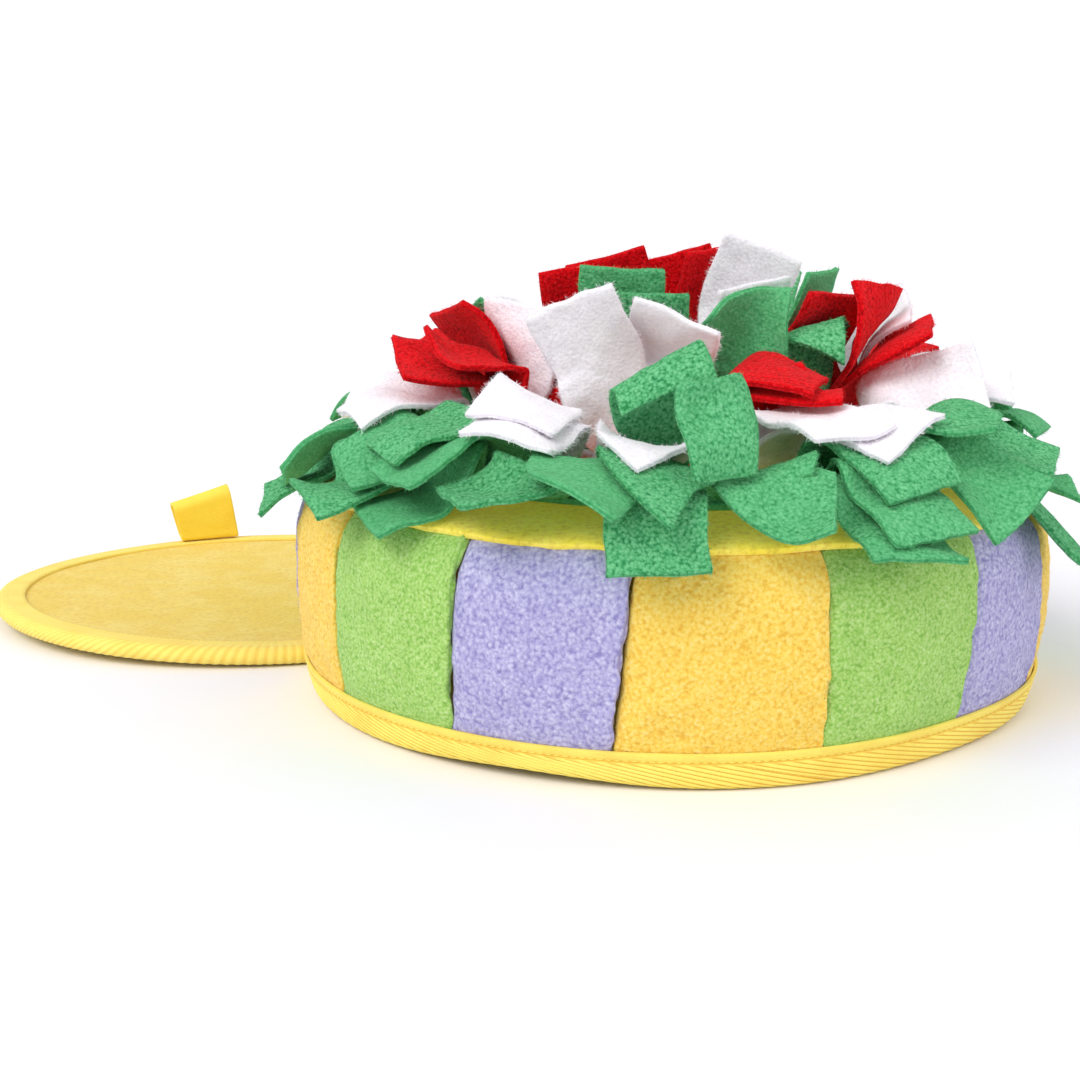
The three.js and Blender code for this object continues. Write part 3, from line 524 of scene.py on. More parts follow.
def patchGrid(start, width, edges, clear, leans):
    rows = patchwork["rows"]
    height = np.linspace(patchwork["top"], patchwork["foot"], rows)[:, None]
    perDegree = math.radians(drum["bellyRadius"])
    span = width * perDegree - clear
    close = np.array(patchwork["edgeSteps"])
    inner = np.linspace(close[-1], span - close[-1], patchwork["columns"] - 2 * len(close) + 2)
    along = np.concatenate([close[:-1], inner, span - close[-2::-1]])[None, :]
    columns = along.shape[1]
    tapeEdge = patchwork["tapeEdge"]
    above = smooth(height, tapeEdge - patchwork["fadeBelow"], tapeEdge + patchwork["fadeAbove"])
    waver = ripple(2, rows, 1, patchwork["waverKnots"], 2) * patchwork["waver"] * above
    left = along + waver[0] * (1 - along / span)
    right = span - along
    rise = (height - patchwork["foot"]) / (patchwork["top"] - patchwork["foot"]) - patchwork["leanFoot"]
    lean = (leans[0] * (1 - along / span) + leans[1] * along / span) * rise
    azimuth = start + (left + waver[1] * along / span + clear + lean) / perDegree
    sharp = patchwork["tuckShare"] * np.exp(-along / patchwork["tuckReach"])
    gentle = (1 - patchwork["tuckShare"]) * np.exp(-along / patchwork["dipReach"])
    tuck = edges[0] * (sharp + gentle)
    aside = edges[1] * np.exp(-right / patchwork["dipReach"]) - tuck
    topDip = patchwork["topDip"] * np.exp(-(patchwork["top"] - height) / patchwork["topReach"])
    atTop = np.exp(-(patchwork["top"] - height) / patchwork["puckerReach"])
    atTape = np.exp(-(height - tapeEdge) ** 2 / patchwork["footPuckerSquare"])
    pucker = ripple(1, 1, columns, 2, patchwork["puckerKnots"])[0] * atTop
    pucker = pucker + ripple(1, 1, columns, 2, patchwork["puckerKnots"])[0] * atTape
    lumps = ripple(1, rows, columns, *patchwork["smallKnots"])[0] * patchwork["smallLump"]
    lumps = lumps + ripple(1, rows, columns, *patchwork["broadKnots"])[0] * patchwork["broadLump"]
    swell = (aside + pucker * patchwork["pucker"] + lumps) * above - topDip
    radius = wallRadius(height) - patchwork["thickness"] / 2 + swell
    return settled(polar(azimuth, radius, height))


patchCloth, patchFuzz = fleecePair("patch_", patchColours, fleeceFinish, patchBump, [("CutShade", "cut")])
seam = patchwork["firstSeam"]
for turn in range(1, patchwork["repeats"] + 1):
    for colour, usual in patchwork["widths"].items():
        first = seam == patchwork["firstSeam"]
        width = patchwork["frontYellow"] if first else usual
        clear = patchwork["frontClear"] if first else patchwork["clear"]
        nextTurn = turn % patchwork["repeats"] + 1
        beside = {"yellow": f"{turn}_green", "green": f"{turn}_lilac", "lilac": f"{nextTurn}_yellow"}
        leans = (seamLeans.get(f"{turn}_{colour}", 0), seamLeans.get(beside[colour], 0))
        grid = patchGrid(seam, width, patchEdges[colour], clear, leans)[None]
        points, faces, cut = clothMesh(grid, patchwork["thickness"])
        name = f"patch_{turn}_{colour}"
        slot = patchwork["slots"][colour]
        patch = addPiece(name, points, faces, patchCloth[colour], slot, [f"wall_{name}"], {"cut": cut})
        edgeFuzz = patchwork["fuzz"] // patchwork["edgeFuzzPart"]
        feet, ways = strew(grid, patchwork["thickness"], patchwork["fuzz"], edgeFuzz)
        lengths = patchwork["fuzzLength"] * (patchwork["leastFuzz"] + chance.random(len(feet)))
        slivers = fibres(feet, ways, lengths, patchwork["fuzzWidth"])
        fuzz = addPiece(f"{name}_fuzz", *slivers, patchFuzz[colour], slot)
        seam += width
print("wall patches done")

# Top panel
panel = {
    "rows": 44, "columns": 220, "rowCrowd": 0.7, "hole": 0.05,
    "edgeRoll": 3.0, "edgeOut": 0.6, "edgeDrop": 1.0,
    "swell": 0.35, "swellPower": 6, "swellKnots": (9, 60), "calmColumns": 8, "flatSide": 264,
    "glow": 0.17, "glowFrom": 134, "glowTo": 150,
}
panelColours = {"Color": "f2dc44", "Pale": "fae878", "Dark": "b49c24"}
feltFinish = {"Roughness": 0.95, "Specular IOR Level": 0.1, "Sheen Weight": 0.2, "Sheen Roughness": 0.6}
panelBump = {"strength": 0.7, "depth": 0.6}


# A faint glow stands for the light that scatters in under the petals. Its reach is measured from the part's
# origin, between the drum's axis and the lid, so it fades out toward the middle and the lid's side
def addGlow(material):
    tree = material.node_tree
    shader = tree.nodes["Principled BSDF"]
    shader.inputs["Emission Strength"].default_value = panel["glow"]
    reach = tree.nodes.new("ShaderNodeVectorMath")
    reach.operation = "LENGTH"
    tree.links.new(tree.nodes.new("ShaderNodeTexCoord").outputs["Object"], reach.inputs[0])
    share = ranged(tree, reach.outputs["Value"], panel["glowFrom"] * mm, panel["glowTo"] * mm)
    feed(tree, shader.inputs["Emission Color"], mixColour(tree, share, black, linear(panelColours["Color"])))


panelMaterial = clothMaterial("felt_top", feltFibre, panelColours, feltFinish, panelBump)
addGlow(panelMaterial)
panelShare = np.linspace(0, 1, panel["rows"])[:, None] ** panel["rowCrowd"]
panelRadius = np.maximum(panelShare * drum["seamRadius"], panel["hole"])
panelAzimuth = np.arange(panel["columns"])[None, :] * 360 / panel["columns"]
panelRipple = ripple(1, panel["rows"], panel["columns"] - panel["calmColumns"], *panel["swellKnots"])[0]
panelRipple = np.pad(panelRipple, ((0, 0), (0, panel["calmColumns"])))
panelHeight = topHeight(panelRadius) + drum["topThickness"] / 2
panelHeight = panelHeight + panelRipple * panel["swell"] * panelShare ** panel["swellPower"]
roll = smooth(panelRadius, drum["seamRadius"] - panel["edgeRoll"], drum["seamRadius"])
panelRadius = panelRadius + panel["edgeOut"] * roll
panelGrid = settled(polar(panelAzimuth, panelRadius, panelHeight - panel["edgeDrop"] * roll))
points, faces = clothMesh(panelGrid[None], drum["topThickness"], wrap=True)[:2]
topPanel = addPiece("top_felt", points, faces, panelMaterial, "felt_top", ["top_panel"])
print("top panel done")

# Twill tape: ribs run aslant along its length, and the grid follows them
tape = {"thickness": 1.2, "ribSteps": 6, "ribDepth": 0.14, "foldSteps": 9}
rim = {
    "top": 13.6, "inner": 9.0, "fold": 2.4, "foldHeight": 3.0, "gap": 0.3, "rows": 17,
    "rib": 6.4, "slant": 4.0, "ribDepth": 0.17, "runHeight": 5.0, "runOut": 0.9,
    "lip": 3.2, "lipFade": 1, "lipSteps": (0, 0.5, 1.1, 1.8, 2.35, 2.75, 3.15, 3.6),
    "seamAt": 2.75, "seamWide": 0.5, "seamDeep": 0.5,
    "stitch": 1.9, "stitchPitch": 2.7, "stitchRadius": 0.26, "stitchSunk": 0.25,
}
# The tapes' dark colour is painted shade in the grooves between the ribs, and on the rim in a line along its
# lip's edge, besides faint random tone
tapeColours = {
    "rim": {"Color": "fceb73", "Dark": "e09c1c", "GrooveShade": 1.0, "Lip": rim["lip"], "Seam": 0.8},
    "lid": {"Color": "fce878", "Dark": "eeb83e", "GrooveShade": 0.4, "Lip": 5.5},
}
tapeFinish = {"Roughness": 0.75, "Specular IOR Level": 0.25, "Sheen Weight": 0.1, "Sheen Roughness": 0.4}
weaveBump = {"strength": 0.4, "depth": 0.2}


def tapeMaterial(place, pitch):
    inputs = {**tapeColours[place], "Pitch": pitch}
    return clothMaterial(f"{place}_twill", wovenThread, inputs, tapeFinish, weaveBump, [("Weave", "weave")])


# Points along a polyline, evenly or at given lengths from its start
def evenly(line, count=None, lengths=None):
    line = np.asarray(line, float)
    run = np.concatenate([[0], np.cumsum(np.linalg.norm(np.diff(line, axis=0), axis=1))])
    at = np.linspace(0, run[-1], count) if lengths is None else lengths(run[-1])
    return np.stack([np.interp(at, run, line[:, k]) for k in range(line.shape[1])], -1), at


# Sewing stitches: short rounded bars, with places along them and widths there as shares
stitchForm = ((-0.5, 0.1), (-0.42, 0.7), (0, 1), (0.42, 0.7), (0.5, 0.1))
stitchSides = 6


def stitchMesh(centres, ways, ups, length, radius):
    sides = np.cross(ways, ups)
    turns = np.arange(stitchSides) * 2 * math.pi / stitchSides
    rings = []
    for along, wide in stitchForm:
        for turn in turns:
            ring = ups * math.cos(turn) + sides * math.sin(turn)
            rings.append(centres + ways * along * length + ring * radius * wide)
    points = np.stack(rings, 1)
    faces = []
    for ring in range(len(stitchForm) - 1):
        for k in range(stitchSides):
            a = ring * stitchSides + k
            b = ring * stitchSides + (k + 1) % stitchSides
            faces.append((a, b, b + stitchSides, a + stitchSides))
    faces = np.array(faces)[None] + (np.arange(len(centres)) * points.shape[1])[:, None, None]
    return points.reshape(-1, 3), faces.reshape(-1, 4)


# A woven cloth's own lengths at its points, for the threads to follow
def weaveMarks(total, along, across):
    marks = np.zeros((total, 3))
    both = np.stack([value.ravel() for value in np.broadcast_arrays(along, across)], -1)
    marks[:2 * len(both), :2] = np.concatenate([both, both])
    return {"weave": marks}


def rimSection():
    side = rim["fold"]
    low = rim["foldHeight"]
    arc = np.linspace(0, math.pi, tape["foldSteps"])[1:-1]
    turn = [(side * math.cos(a), low - side * math.sin(a)) for a in arc]
    return [(side, rim["top"] - rim["gap"]), (side, low)] + turn + [(-side, low), (-side, rim["inner"])]


def rimLengths(total):
    return np.concatenate([rim["lipSteps"][:-1], np.linspace(rim["lipSteps"][-1], total, rim["rows"])])


section, across = evenly(rimSection(), lengths=rimLengths)
rimLength = 2 * math.pi * (wallRadius(rim["runHeight"]) + rim["runOut"])
ribs = round(rimLength / rim["rib"])
along = np.arange(ribs * tape["ribSteps"])[None, :] * rim["rib"] / tape["ribSteps"]
across = across[:, None]
rimAzimuth = (along + across * rim["slant"]) * 360 / (ribs * rim["rib"])
middle = wallRadius(np.maximum(section[:, 1], 0)) - patchwork["thickness"] / 2
rimGrid = polar(rimAzimuth, (middle + section[:, 0])[:, None], section[:, 1][:, None])
ribWave = np.cos(2 * math.pi * along / rim["rib"]) * rim["ribDepth"]
ribWave = ribWave * smooth(across, rim["lip"], rim["lip"] + rim["lipFade"])
groove = rim["seamDeep"] * np.exp(-(((across - rim["seamAt"]) / rim["seamWide"]) ** 2))
rimGrid = rimGrid + gridNormals(rimGrid[None], wrap=True)[0][0] * (ribWave - groove)[..., None]
points, faces = clothMesh(settled(rimGrid)[None], tape["thickness"], wrap=True)[:2]
rimCloth = tapeMaterial("rim", rim["rib"])
marks = weaveMarks(len(points), along, across)
rimTape = addPiece("rim_tape", points, faces, rimCloth, "twill_tape", ["rim_binding"], marks)
stitchAt = np.arange(0, 360, 360 / round(rimLength / rim["stitchPitch"]))
stitchHeight = rim["top"] - rim["gap"] - rim["seamAt"]
stitchRadius = wallRadius(stitchHeight) - patchwork["thickness"] / 2 + rim["fold"]
stitchRadius = stitchRadius + tape["thickness"] / 2 - rim["stitchSunk"]
stitchPlaces = settled(polar(stitchAt, stitchRadius, stitchHeight))
stitchWays, stitchUps = around(stitchAt), outward(stitchAt)
points, faces = stitchMesh(stitchPlaces, stitchWays, stitchUps, rim["stitch"], rim["stitchRadius"])
rimStitches = addPiece("rim_stitches", points, faces, rimCloth, "twill_tape")
print("rim tape done")

# Lid: a slightly oval bound felt disc, its near left edge a little off the floor
lid = {
    "centre": (-171, 111), "halfX": 114.5, "halfY": 110, "thickness": 4.6, "floor": 1.4, "hinge": 136.9,
    "rows": 26, "columns": 260, "firstRows": (0.0005, 0.002), "nextRow": 0.04, "inTape": 1.8,
    "swell": 0.15, "swellKnots": (8, 30), "swellFrom": 0.3,
    "tapeWidth": 12, "tapeRows": 16, "foldInset": 0.6, "sunk": 0.1, "rib": 3.0, "slant": 1.9, "slantEnds": 90,
    "leastRib": 0.2, "moreRib": 0.5, "ribFrom": 9.5, "ribTo": 12.0,
    "lift": 4.0, "spread": 5, "liftWay": (-0.8, -0.6), "hingeSteps": 4001,
    "stitchAt": 1.1, "stitchRadius": 0.2, "stitchEnd": 0.02,
}
lidColours = {"Color": "eccb4c", "Pale": "f1d874", "Dark": "d6ae3c"}
lidBump = {"strength": 0.5, "depth": 0.4}
lidCentre = np.array(lid["centre"], float)


# How far the lid goes from its centre along each way: to its oval edge, and to the drum's wall
def lidReach(turn):
    way = np.stack([np.cos(turn), np.sin(turn)], -1)
    oval = 1 / np.hypot(way[..., 0] / lid["halfX"], way[..., 1] / lid["halfY"])
    ahead = way @ lidCentre
    under = ahead ** 2 - (lidCentre @ lidCentre - lid["hinge"] ** 2)
    hit = np.where((under > 0) & (ahead < 0), -ahead - np.sqrt(np.maximum(under, 0)), np.inf)
    return oval, hit


# Lifts the lid's free side a little off the floor
def lidPoints(x, y, z):
    ahead = (x - lidCentre[0]) * lid["liftWay"][0] + (y - lidCentre[1]) * lid["liftWay"][1]
    rise = np.maximum(0, ahead / lid["halfY"]) ** 2
    return np.stack(np.broadcast_arrays(x, y - lid["spread"] * rise, z + lid["lift"] * rise), -1)


lidMaterial = clothMaterial("felt_lid", feltFibre, lidColours, feltFinish, lidBump)
lidTurn = np.arange(lid["columns"]) * 2 * math.pi / lid["columns"]
oval, hit = lidReach(lidTurn)
edge = np.minimum(oval - lid["inTape"], hit)[None, :]
lidShare = np.linspace(lid["nextRow"], 1, lid["rows"] - len(lid["firstRows"]))
lidShare = np.concatenate([lid["firstRows"], lidShare])[:, None]
lidRipple = ripple(1, lid["rows"], lid["columns"], *lid["swellKnots"])[0] * lid["swell"]
lidRipple = lidRipple * (1 - np.cos(lidTurn)) / 2 * smooth(lidShare, 0, lid["swellFrom"])
lidX = lidCentre[0] + np.cos(lidTurn) * edge * lidShare
lidY = lidCentre[1] + np.sin(lidTurn) * edge * lidShare
lidGrid = lidPoints(lidX, lidY, lid["floor"] + lid["thickness"] / 2 + lidRipple)
points, faces = clothMesh(lidGrid[None], lid["thickness"], wrap=True)[:2]
lidPiece = addPiece("lid_felt", points, faces, lidMaterial, "felt_lid", ["lid"])

# The tape runs round the free edge, from one side of the drum to the other
turns = np.linspace(-math.pi, math.pi, lid["hingeSteps"])
oval, hit = lidReach(turns)
hinged = turns[oval >= hit]
startTurn, endTurn = hinged[-1], hinged[0] + 2 * math.pi
lidTop = lid["floor"] + lid["thickness"] + tape["thickness"] / 2 - lid["sunk"]
lidLow = tape["thickness"] / 2
fold = (lidTop - lidLow) / 2
foldArc = np.linspace(math.pi / 2, -math.pi / 2, tape["foldSteps"])
lidSection = [(lid["tapeWidth"], lidTop)]
foldAt = fold + lid["foldInset"]
lidSection += [(foldAt - fold * math.cos(a), lidLow + fold + fold * math.sin(a)) for a in foldArc]
lidSection, across = evenly(lidSection + [(lid["tapeWidth"], lidLow)], lid["tapeRows"])
across = across[:, None]
lidRun = (endTurn - startTurn) * (lid["halfX"] + lid["halfY"]) / 2
lidSteps = np.arange(round(lidRun / lid["rib"]) * tape["ribSteps"] + 1)[None, :]
along = lidSteps * lidRun / lidSteps[0, -1]
ends = smooth(along, 0, lid["slantEnds"]) * smooth(lidRun - along, 0, lid["slantEnds"])
lidAngle = startTurn + (endTurn - startTurn) * (along - across * lid["slant"] * ends) / lidRun


def onLidTape(inset, angle, high):
    x = lidCentre[0] + (lid["halfX"] - inset) * np.cos(angle)
    y = lidCentre[1] + (lid["halfY"] - inset) * np.sin(angle)
    return lidPoints(x, y, high)


tapeGrid = onLidTape(lidSection[:, 0][:, None], lidAngle, lidSection[:, 1][:, None])
ribWave = np.cos(2 * math.pi * lidSteps / tape["ribSteps"]) * tape["ribDepth"]
calm = lid["leastRib"] + lid["moreRib"] * smooth(across, lid["ribFrom"], lid["ribTo"])
tapeGrid = tapeGrid + gridNormals(tapeGrid[None])[0][0] * (ribWave * calm)[..., None]
points, faces = clothMesh(tapeGrid[None], tape["thickness"])[:2]
lidCloth = tapeMaterial("lid", lid["rib"])
marks = weaveMarks(len(points), lidSteps * lid["rib"] / tape["ribSteps"], across)
lidTape = addPiece("lid_tape", points, faces, lidCloth, "twill_tape", ["lid_binding"], marks)
stitchCount = round(lidRun / rim["stitchPitch"])
stitchAngle = np.linspace(startTurn + lid["stitchEnd"], endTurn - lid["stitchEnd"], stitchCount)
stitchWays = np.stack([-np.sin(stitchAngle), np.cos(stitchAngle), 0 * stitchAngle], -1)
stitchPlaces = onLidTape(lid["tapeWidth"] - lid["stitchAt"], stitchAngle, lidTop + tape["thickness"] / 2)
stitchUps = np.broadcast_to((0.0, 0.0, 1.0), stitchWays.shape)
points, faces = stitchMesh(stitchPlaces, stitchWays, stitchUps, rim["stitch"], lid["stitchRadius"])
lidStitches = addPiece("lid_stitches", points, faces, lidCloth, "twill_tape")
print("lid done")

# Pull loop of folded ribbon
loop = {
    "turn": 113, "inset": 6, "foot": 7.7, "width": 28, "height": 23, "half": 4.2, "pinch": 2.2,
    "thickness": 1.1, "bulge": 0.1, "skew": 0.17, "lean": -0.2, "rows": 60, "columns": 29,
    "wave": 0.3, "waveKnots": (8, 4), "seamHeight": 4.0, "sideHeight": 12.0, "archSteps": 17,
}
# The ribbon's dark colour is painted shade in the grooves between its ribs, besides faint random tone
ribbonColours = {"Color": "ffe654", "Dark": "f2bc30", "Pitch": 0.9, "GrooveShade": 0.3}
ribbonFinish = {"Roughness": 0.55, "Specular IOR Level": 0.4, "Sheen Weight": 0.1, "Sheen Roughness": 0.3}
ribbonMaterial = clothMaterial(
    "ribbon", wovenThread, ribbonColours, ribbonFinish, weaveBump, [("Weave", "weave")])


# The ribbon from one sewn end up one side, over the top and down to the other end, which lies on the first
def ribbonArch():
    half, pinch = loop["half"], loop["pinch"]
    seam, side = loop["seamHeight"], loop["sideHeight"]
    top = loop["height"] - loop["thickness"] / 2 - half
    arc = np.linspace(0, math.pi, loop["archSteps"])
    over = [(-half * math.cos(a), top + half * math.sin(a)) for a in arc]
    first = [(pinch, 0.6), (-pinch, 0.6), (-pinch - 0.8, 1.4), (-pinch - 1.0, seam), (-half, side)]
    return first + over + [(half, side), (pinch + 1.0, seam), (pinch + 0.6, 2.2), (-pinch + 0.4, 2.1)]


ribbonLine, ribbonRun = evenly(ribbonArch(), loop["rows"])
ribbonAcross = np.linspace(-0.5, 0.5, loop["columns"])
stretch = 1 + loop["skew"] * 2 * ribbonAcross[None, :]
ribbonWave = ripple(1, loop["rows"], loop["columns"], *loop["waveKnots"])[0] * loop["wave"]
ribbonWave = ribbonWave * smooth(ribbonLine[:, 1], loop["seamHeight"], loop["sideHeight"])[:, None]
ribbonThin = ribbonLine[:, 0][:, None] + ribbonWave
ribbonHigh = ribbonLine[:, 1][:, None] * stretch
loopTurn = math.radians(loop["turn"])
widthWay = np.array([math.sin(loopTurn), -math.cos(loopTurn)])
thinWay = np.array([math.cos(loopTurn), math.sin(loopTurn)])
loopX = lidCentre[0] + (lid["halfX"] - loop["inset"]) * math.cos(loopTurn)
loopY = lidCentre[1] + (lid["halfY"] - loop["inset"]) * math.sin(loopTurn)
aside = ribbonAcross[None, :] * loop["width"] + loop["lean"] * ribbonLine[:, 1][:, None]
ribbonX = loopX + aside * widthWay[0] + ribbonThin * thinWay[0]
ribbonY = loopY + aside * widthWay[1] + ribbonThin * thinWay[1]
ribbonGrid = np.stack(np.broadcast_arrays(ribbonX, ribbonY, loop["foot"] + ribbonHigh), -1)
points, faces = clothMesh(ribbonGrid[None], loop["thickness"], bulge=loop["bulge"])[:2]
marks = weaveMarks(len(points), ribbonRun[:, None], aside)
ribbon = addPiece("pull_ribbon", points, faces, ribbonMaterial, "ribbon", ["pull_loop"], marks)
print("pull loop done")

# Fleece petals, sewn down in rings
petal = {
    "thickness": 2, "width": 31, "columns": 3, "rows": 5, "rootWidth": 0.26, "fullWidthAt": 0.62,
    "rootCup": 60, "twistEnd": 0.62, "rootDepth": 1.2, "cupMean": 8, "cupSpread": 22, "seed": 7,
    "stripHeight": 2.2, "stripWidth": 7, "gap": 0.3, "cutShare": 0.84,
    "fineRows": 44, "fineColumns": 21, "lump": 0.16, "waver": 0.15, "waverReach": 2.0, "waverLength": 66,
    "lumpKnots": (18, 9), "sideKnots": 12, "tipKnots": 7, "calmRoot": (0.05, 0.3),
    "lineSteps": 49, "leastPull": 0.3, "mostPull": 3, "halvings": 30, "stripRows": 4, "stripColumns": 24,
    "faceFuzz": 220, "edgeFuzz": 360, "fuzzFrom": 10, "fuzzLength": 1.2, "leastFuzz": 0.4, "fuzzWidth": 0.19,
}
# Each ring: radius, lean of the root from upright, length of cloth, whether its petals flop outwards
rings = {
    "green_outer": (101, 48, 66, True), "green_inner": (88, 40, 66, True), "white_outer": (74, 34, 68, True),
    "red_outer": (61, 26, 68, False), "white_middle": (49, 18, 68, False),
    "green_middle": (38, 12, 70, False), "white_centre": (27, 8, 74, False),
    "red_centre": (16, 6, 72, False), "green_centre": (6, 4, 66, False),
}
# Petals around the back: from and to azimuth, count, and the tips' reach, height and slope
backRows = {
    "green_outer": (93, 256, 10, 147, 76, -30), "green_inner": (80, 248, 10, 136, 82, -20),
    "white_outer": (92, 270, 8, 122, 96, -12), "red_outer": (94, 268, 6, 102, 124, 15),
    "white_middle": (100, 250, 5, 76, 136, 40), "green_middle": (122, 250, 3, 58, 151, 62),
    "white_centre": (165, 215, 1, 44, 155, 72),
}
backSpread = {"root": 3, "tip": 6, "reach": 4, "height": 5, "heading": 18, "pitch": 12, "tilt": 16}
# Petals at the front: azimuth of the root, then of the tip, the tip's distance from the axis and height,
# and there the way the cloth heads, its slope and the roll of its end, then a layer of its own where it
# leaves its ring
posed = {
    "green_outer": [
        (-5, -4.8, 151, 79, 7, -70, 0), (-86, -81, 150, 68, -88, -18, -12), (-46, -47, 141, 71, -74, -16, 14),
        (20, 25, 150, 81, 20, -48, 4), (62, 62, 152, 61, 70, -40, -6), (80, 78, 145, 79, 82, -20, 8),
        (-62, -57, 149, 82, -66, -15, -16), (28, 28.5, 149, 84, 30, -28, 0), (40, 45, 151, 83, 58, -20, 52),
        (-26, -31, 145, 94, -66, -16, -14), (17, 15.5, 143, 96, 72, -35, 20), (-18, -8, 148, 98, 80, -25, 26),
        (6, -3, 138, 101, -85, 0, 86, 2.6),
    ],
    "green_inner": [
        (-70, -73, 148, 78, -78, -18, -4), (-84, -78, 134, 84, -82, -22, 0),
        (-57, -55, 137, 95, -70, -15, -4),
        (-33, -42, 141, 85, -64, -18, -6), (-45, -48, 137, 91, -66, -12, 0),
        (-13, -1.5, 145, 97, 78, -28, 22),
        (25, 30, 138, 92, 34, -22, 2), (62, 60, 137, 95, 66, -24, 6), (45, 49, 137, 101, 64, -14, -40),
        (-5, -4.5, 122, 123, 20, -40, 36, 2.5),
    ],
    "white_outer": [
        (-66, -66, 126, 95, -72, -18, -28), (-30, -25, 127, 97, -14, -22, 0),
        (-38, -29, 122, 101, -20, -16, -14),
        (-22, -3, 132, 98, 88, -30, 62), (22, 30.5, 131, 80, 36, -24, -18), (13, 24, 124, 91, 34, -20, 24),
        (70, 76, 123, 115, 80, 0, 26), (50, 62, 116, 116, 76, 14, 75),
    ],
    "red_outer": [
        (-86, -74, 80, 143, -92, 70, 0, 3.5), (-67, -63, 106, 124, -76, 8, -22),
        (-55, -58, 95, 127, -70, 12, -20),
        (-42, -47, 64, 133, -44, 75, 0, 4.2), (32, 33, 90, 124, 70, 4, 4), (9, 30, 97, 115, 88, 0, 42),
        (76, 68, 96, 137, 76, 32, 8), (64, 62, 76, 150, 50, 60, -20, 4.5),
        (53, 55, 69, 147, 60, 65, -15, 5.5),
    ],
    "white_middle": [
        (-62, -62, 56, 147, -36, 78, 4), (-30, -31, 75, 147, -46, 56, 46), (0, -1, 66, 140, 10, 40, -24),
        (77, 77, 87, 140, 73, 40, 38),
    ],
    "green_middle": [
        (-88, -78, 88, 124, -80, 30, 10), (20, 27, 62, 143, 5, 55, 28), (40, 48, 100, 119, 78, 20, 12),
        (66, 66, 58, 154, 62, 70, 0, 5.6),
    ],
    "white_centre": [(45, 64, 32, 149, 0, 72, 30, 6.1), (100, 104, 36, 161, 50, 62, -46, 6.4)],
    "red_centre": [
        (-114, -114, 40, 151, -28, 72, 20, 6.3), (140, 136, 27, 159, 34, 70, 8, 6.6),
        (180, 174, 29, 156, -30, 66, 38, 6.7), (225, 222, 35, 155, -36, 64, 40, 6.65),
    ],
    "green_centre": [(-30, -32, 19, 145, 8, 74, -6, 6), (-95, -90, 18, 153, 10, 74, -10, 6.2)],
}
settling = {
    "restGap": 0.6, "drumClearance": 1.2, "reach": 7, "perStep": 3, "rounds": 140, "searchEvery": 4,
    "pairsAtOnce": 64, "anchorPull": 0.06, "anchorShare": 0.5, "moveEase": 0.7, "leastWeight": 0.8,
    "threadFirmness": 0.5, "bendFirmness": 0.15,
}
# Each fleece's second colour is painted shade for its nap's crevices and cut edges and the tone of its faint
# blotches; its third is a painted highlight on the curls' tops
fleeceColours = {
    "green": {"Color": "5bb176", "ShadeAndBlotch": "318650", "TipHighlight": "7ac890", "Curls": 840.0},
    "white": {"Color": "f6f2f7", "ShadeAndBlotch": "dcd6e2", "TipHighlight": "fefcfe", "Curls": 800.0},
    "red": {"Color": "e00a14", "ShadeAndBlotch": "a4050d", "TipHighlight": "ee2029", "Curls": 800.0},
}
# Some petals show their smooth face, others the curly one: least and most nap
napRange = {"green": (0.5, 1.3), "white": (0.3, 0.6), "red": (0.8, 1.2)}
# How much more fuzz, and how much longer, each colour has along its cut edges
edgeShare = {"green": 1.0, "white": 1.7, "red": 1.0}
jitterState = petal["seed"]
jitterFactor, jitterRange = 16807, 2147483647


# An even random number from minus size to size, of a sequence of its own
def jitter(size):
    global jitterState
    jitterState = jitterState * jitterFactor % jitterRange
    return (jitterState / jitterRange * 2 - 1) * size


# Centre line of a petal: from its root to its tip, at the ring's length of cloth
lineShare = np.linspace(0, 1, petal["lineSteps"])[:, None]
hermite = [2 * lineShare ** 3 - 3 * lineShare ** 2 + 1, lineShare ** 3 - 2 * lineShare ** 2 + lineShare,
           3 * lineShare ** 2 - 2 * lineShare ** 3, lineShare ** 3 - lineShare ** 2]


def centreLine(root, rootWay, tip, tipWay, cloth):
    low, high = cloth * petal["leastPull"], cloth * petal["mostPull"]
    for halving in range(petal["halvings"]):
        pull = (low + high) / 2
        line = hermite[0] * root + hermite[1] * pull * rootWay + hermite[2] * tip + hermite[3] * pull * tipWay
        if np.linalg.norm(np.diff(line, axis=0), axis=1).sum() < cloth:
            low = pull
        else:
            high = pull
    return evenly(line, petal["rows"] + 1)[0]


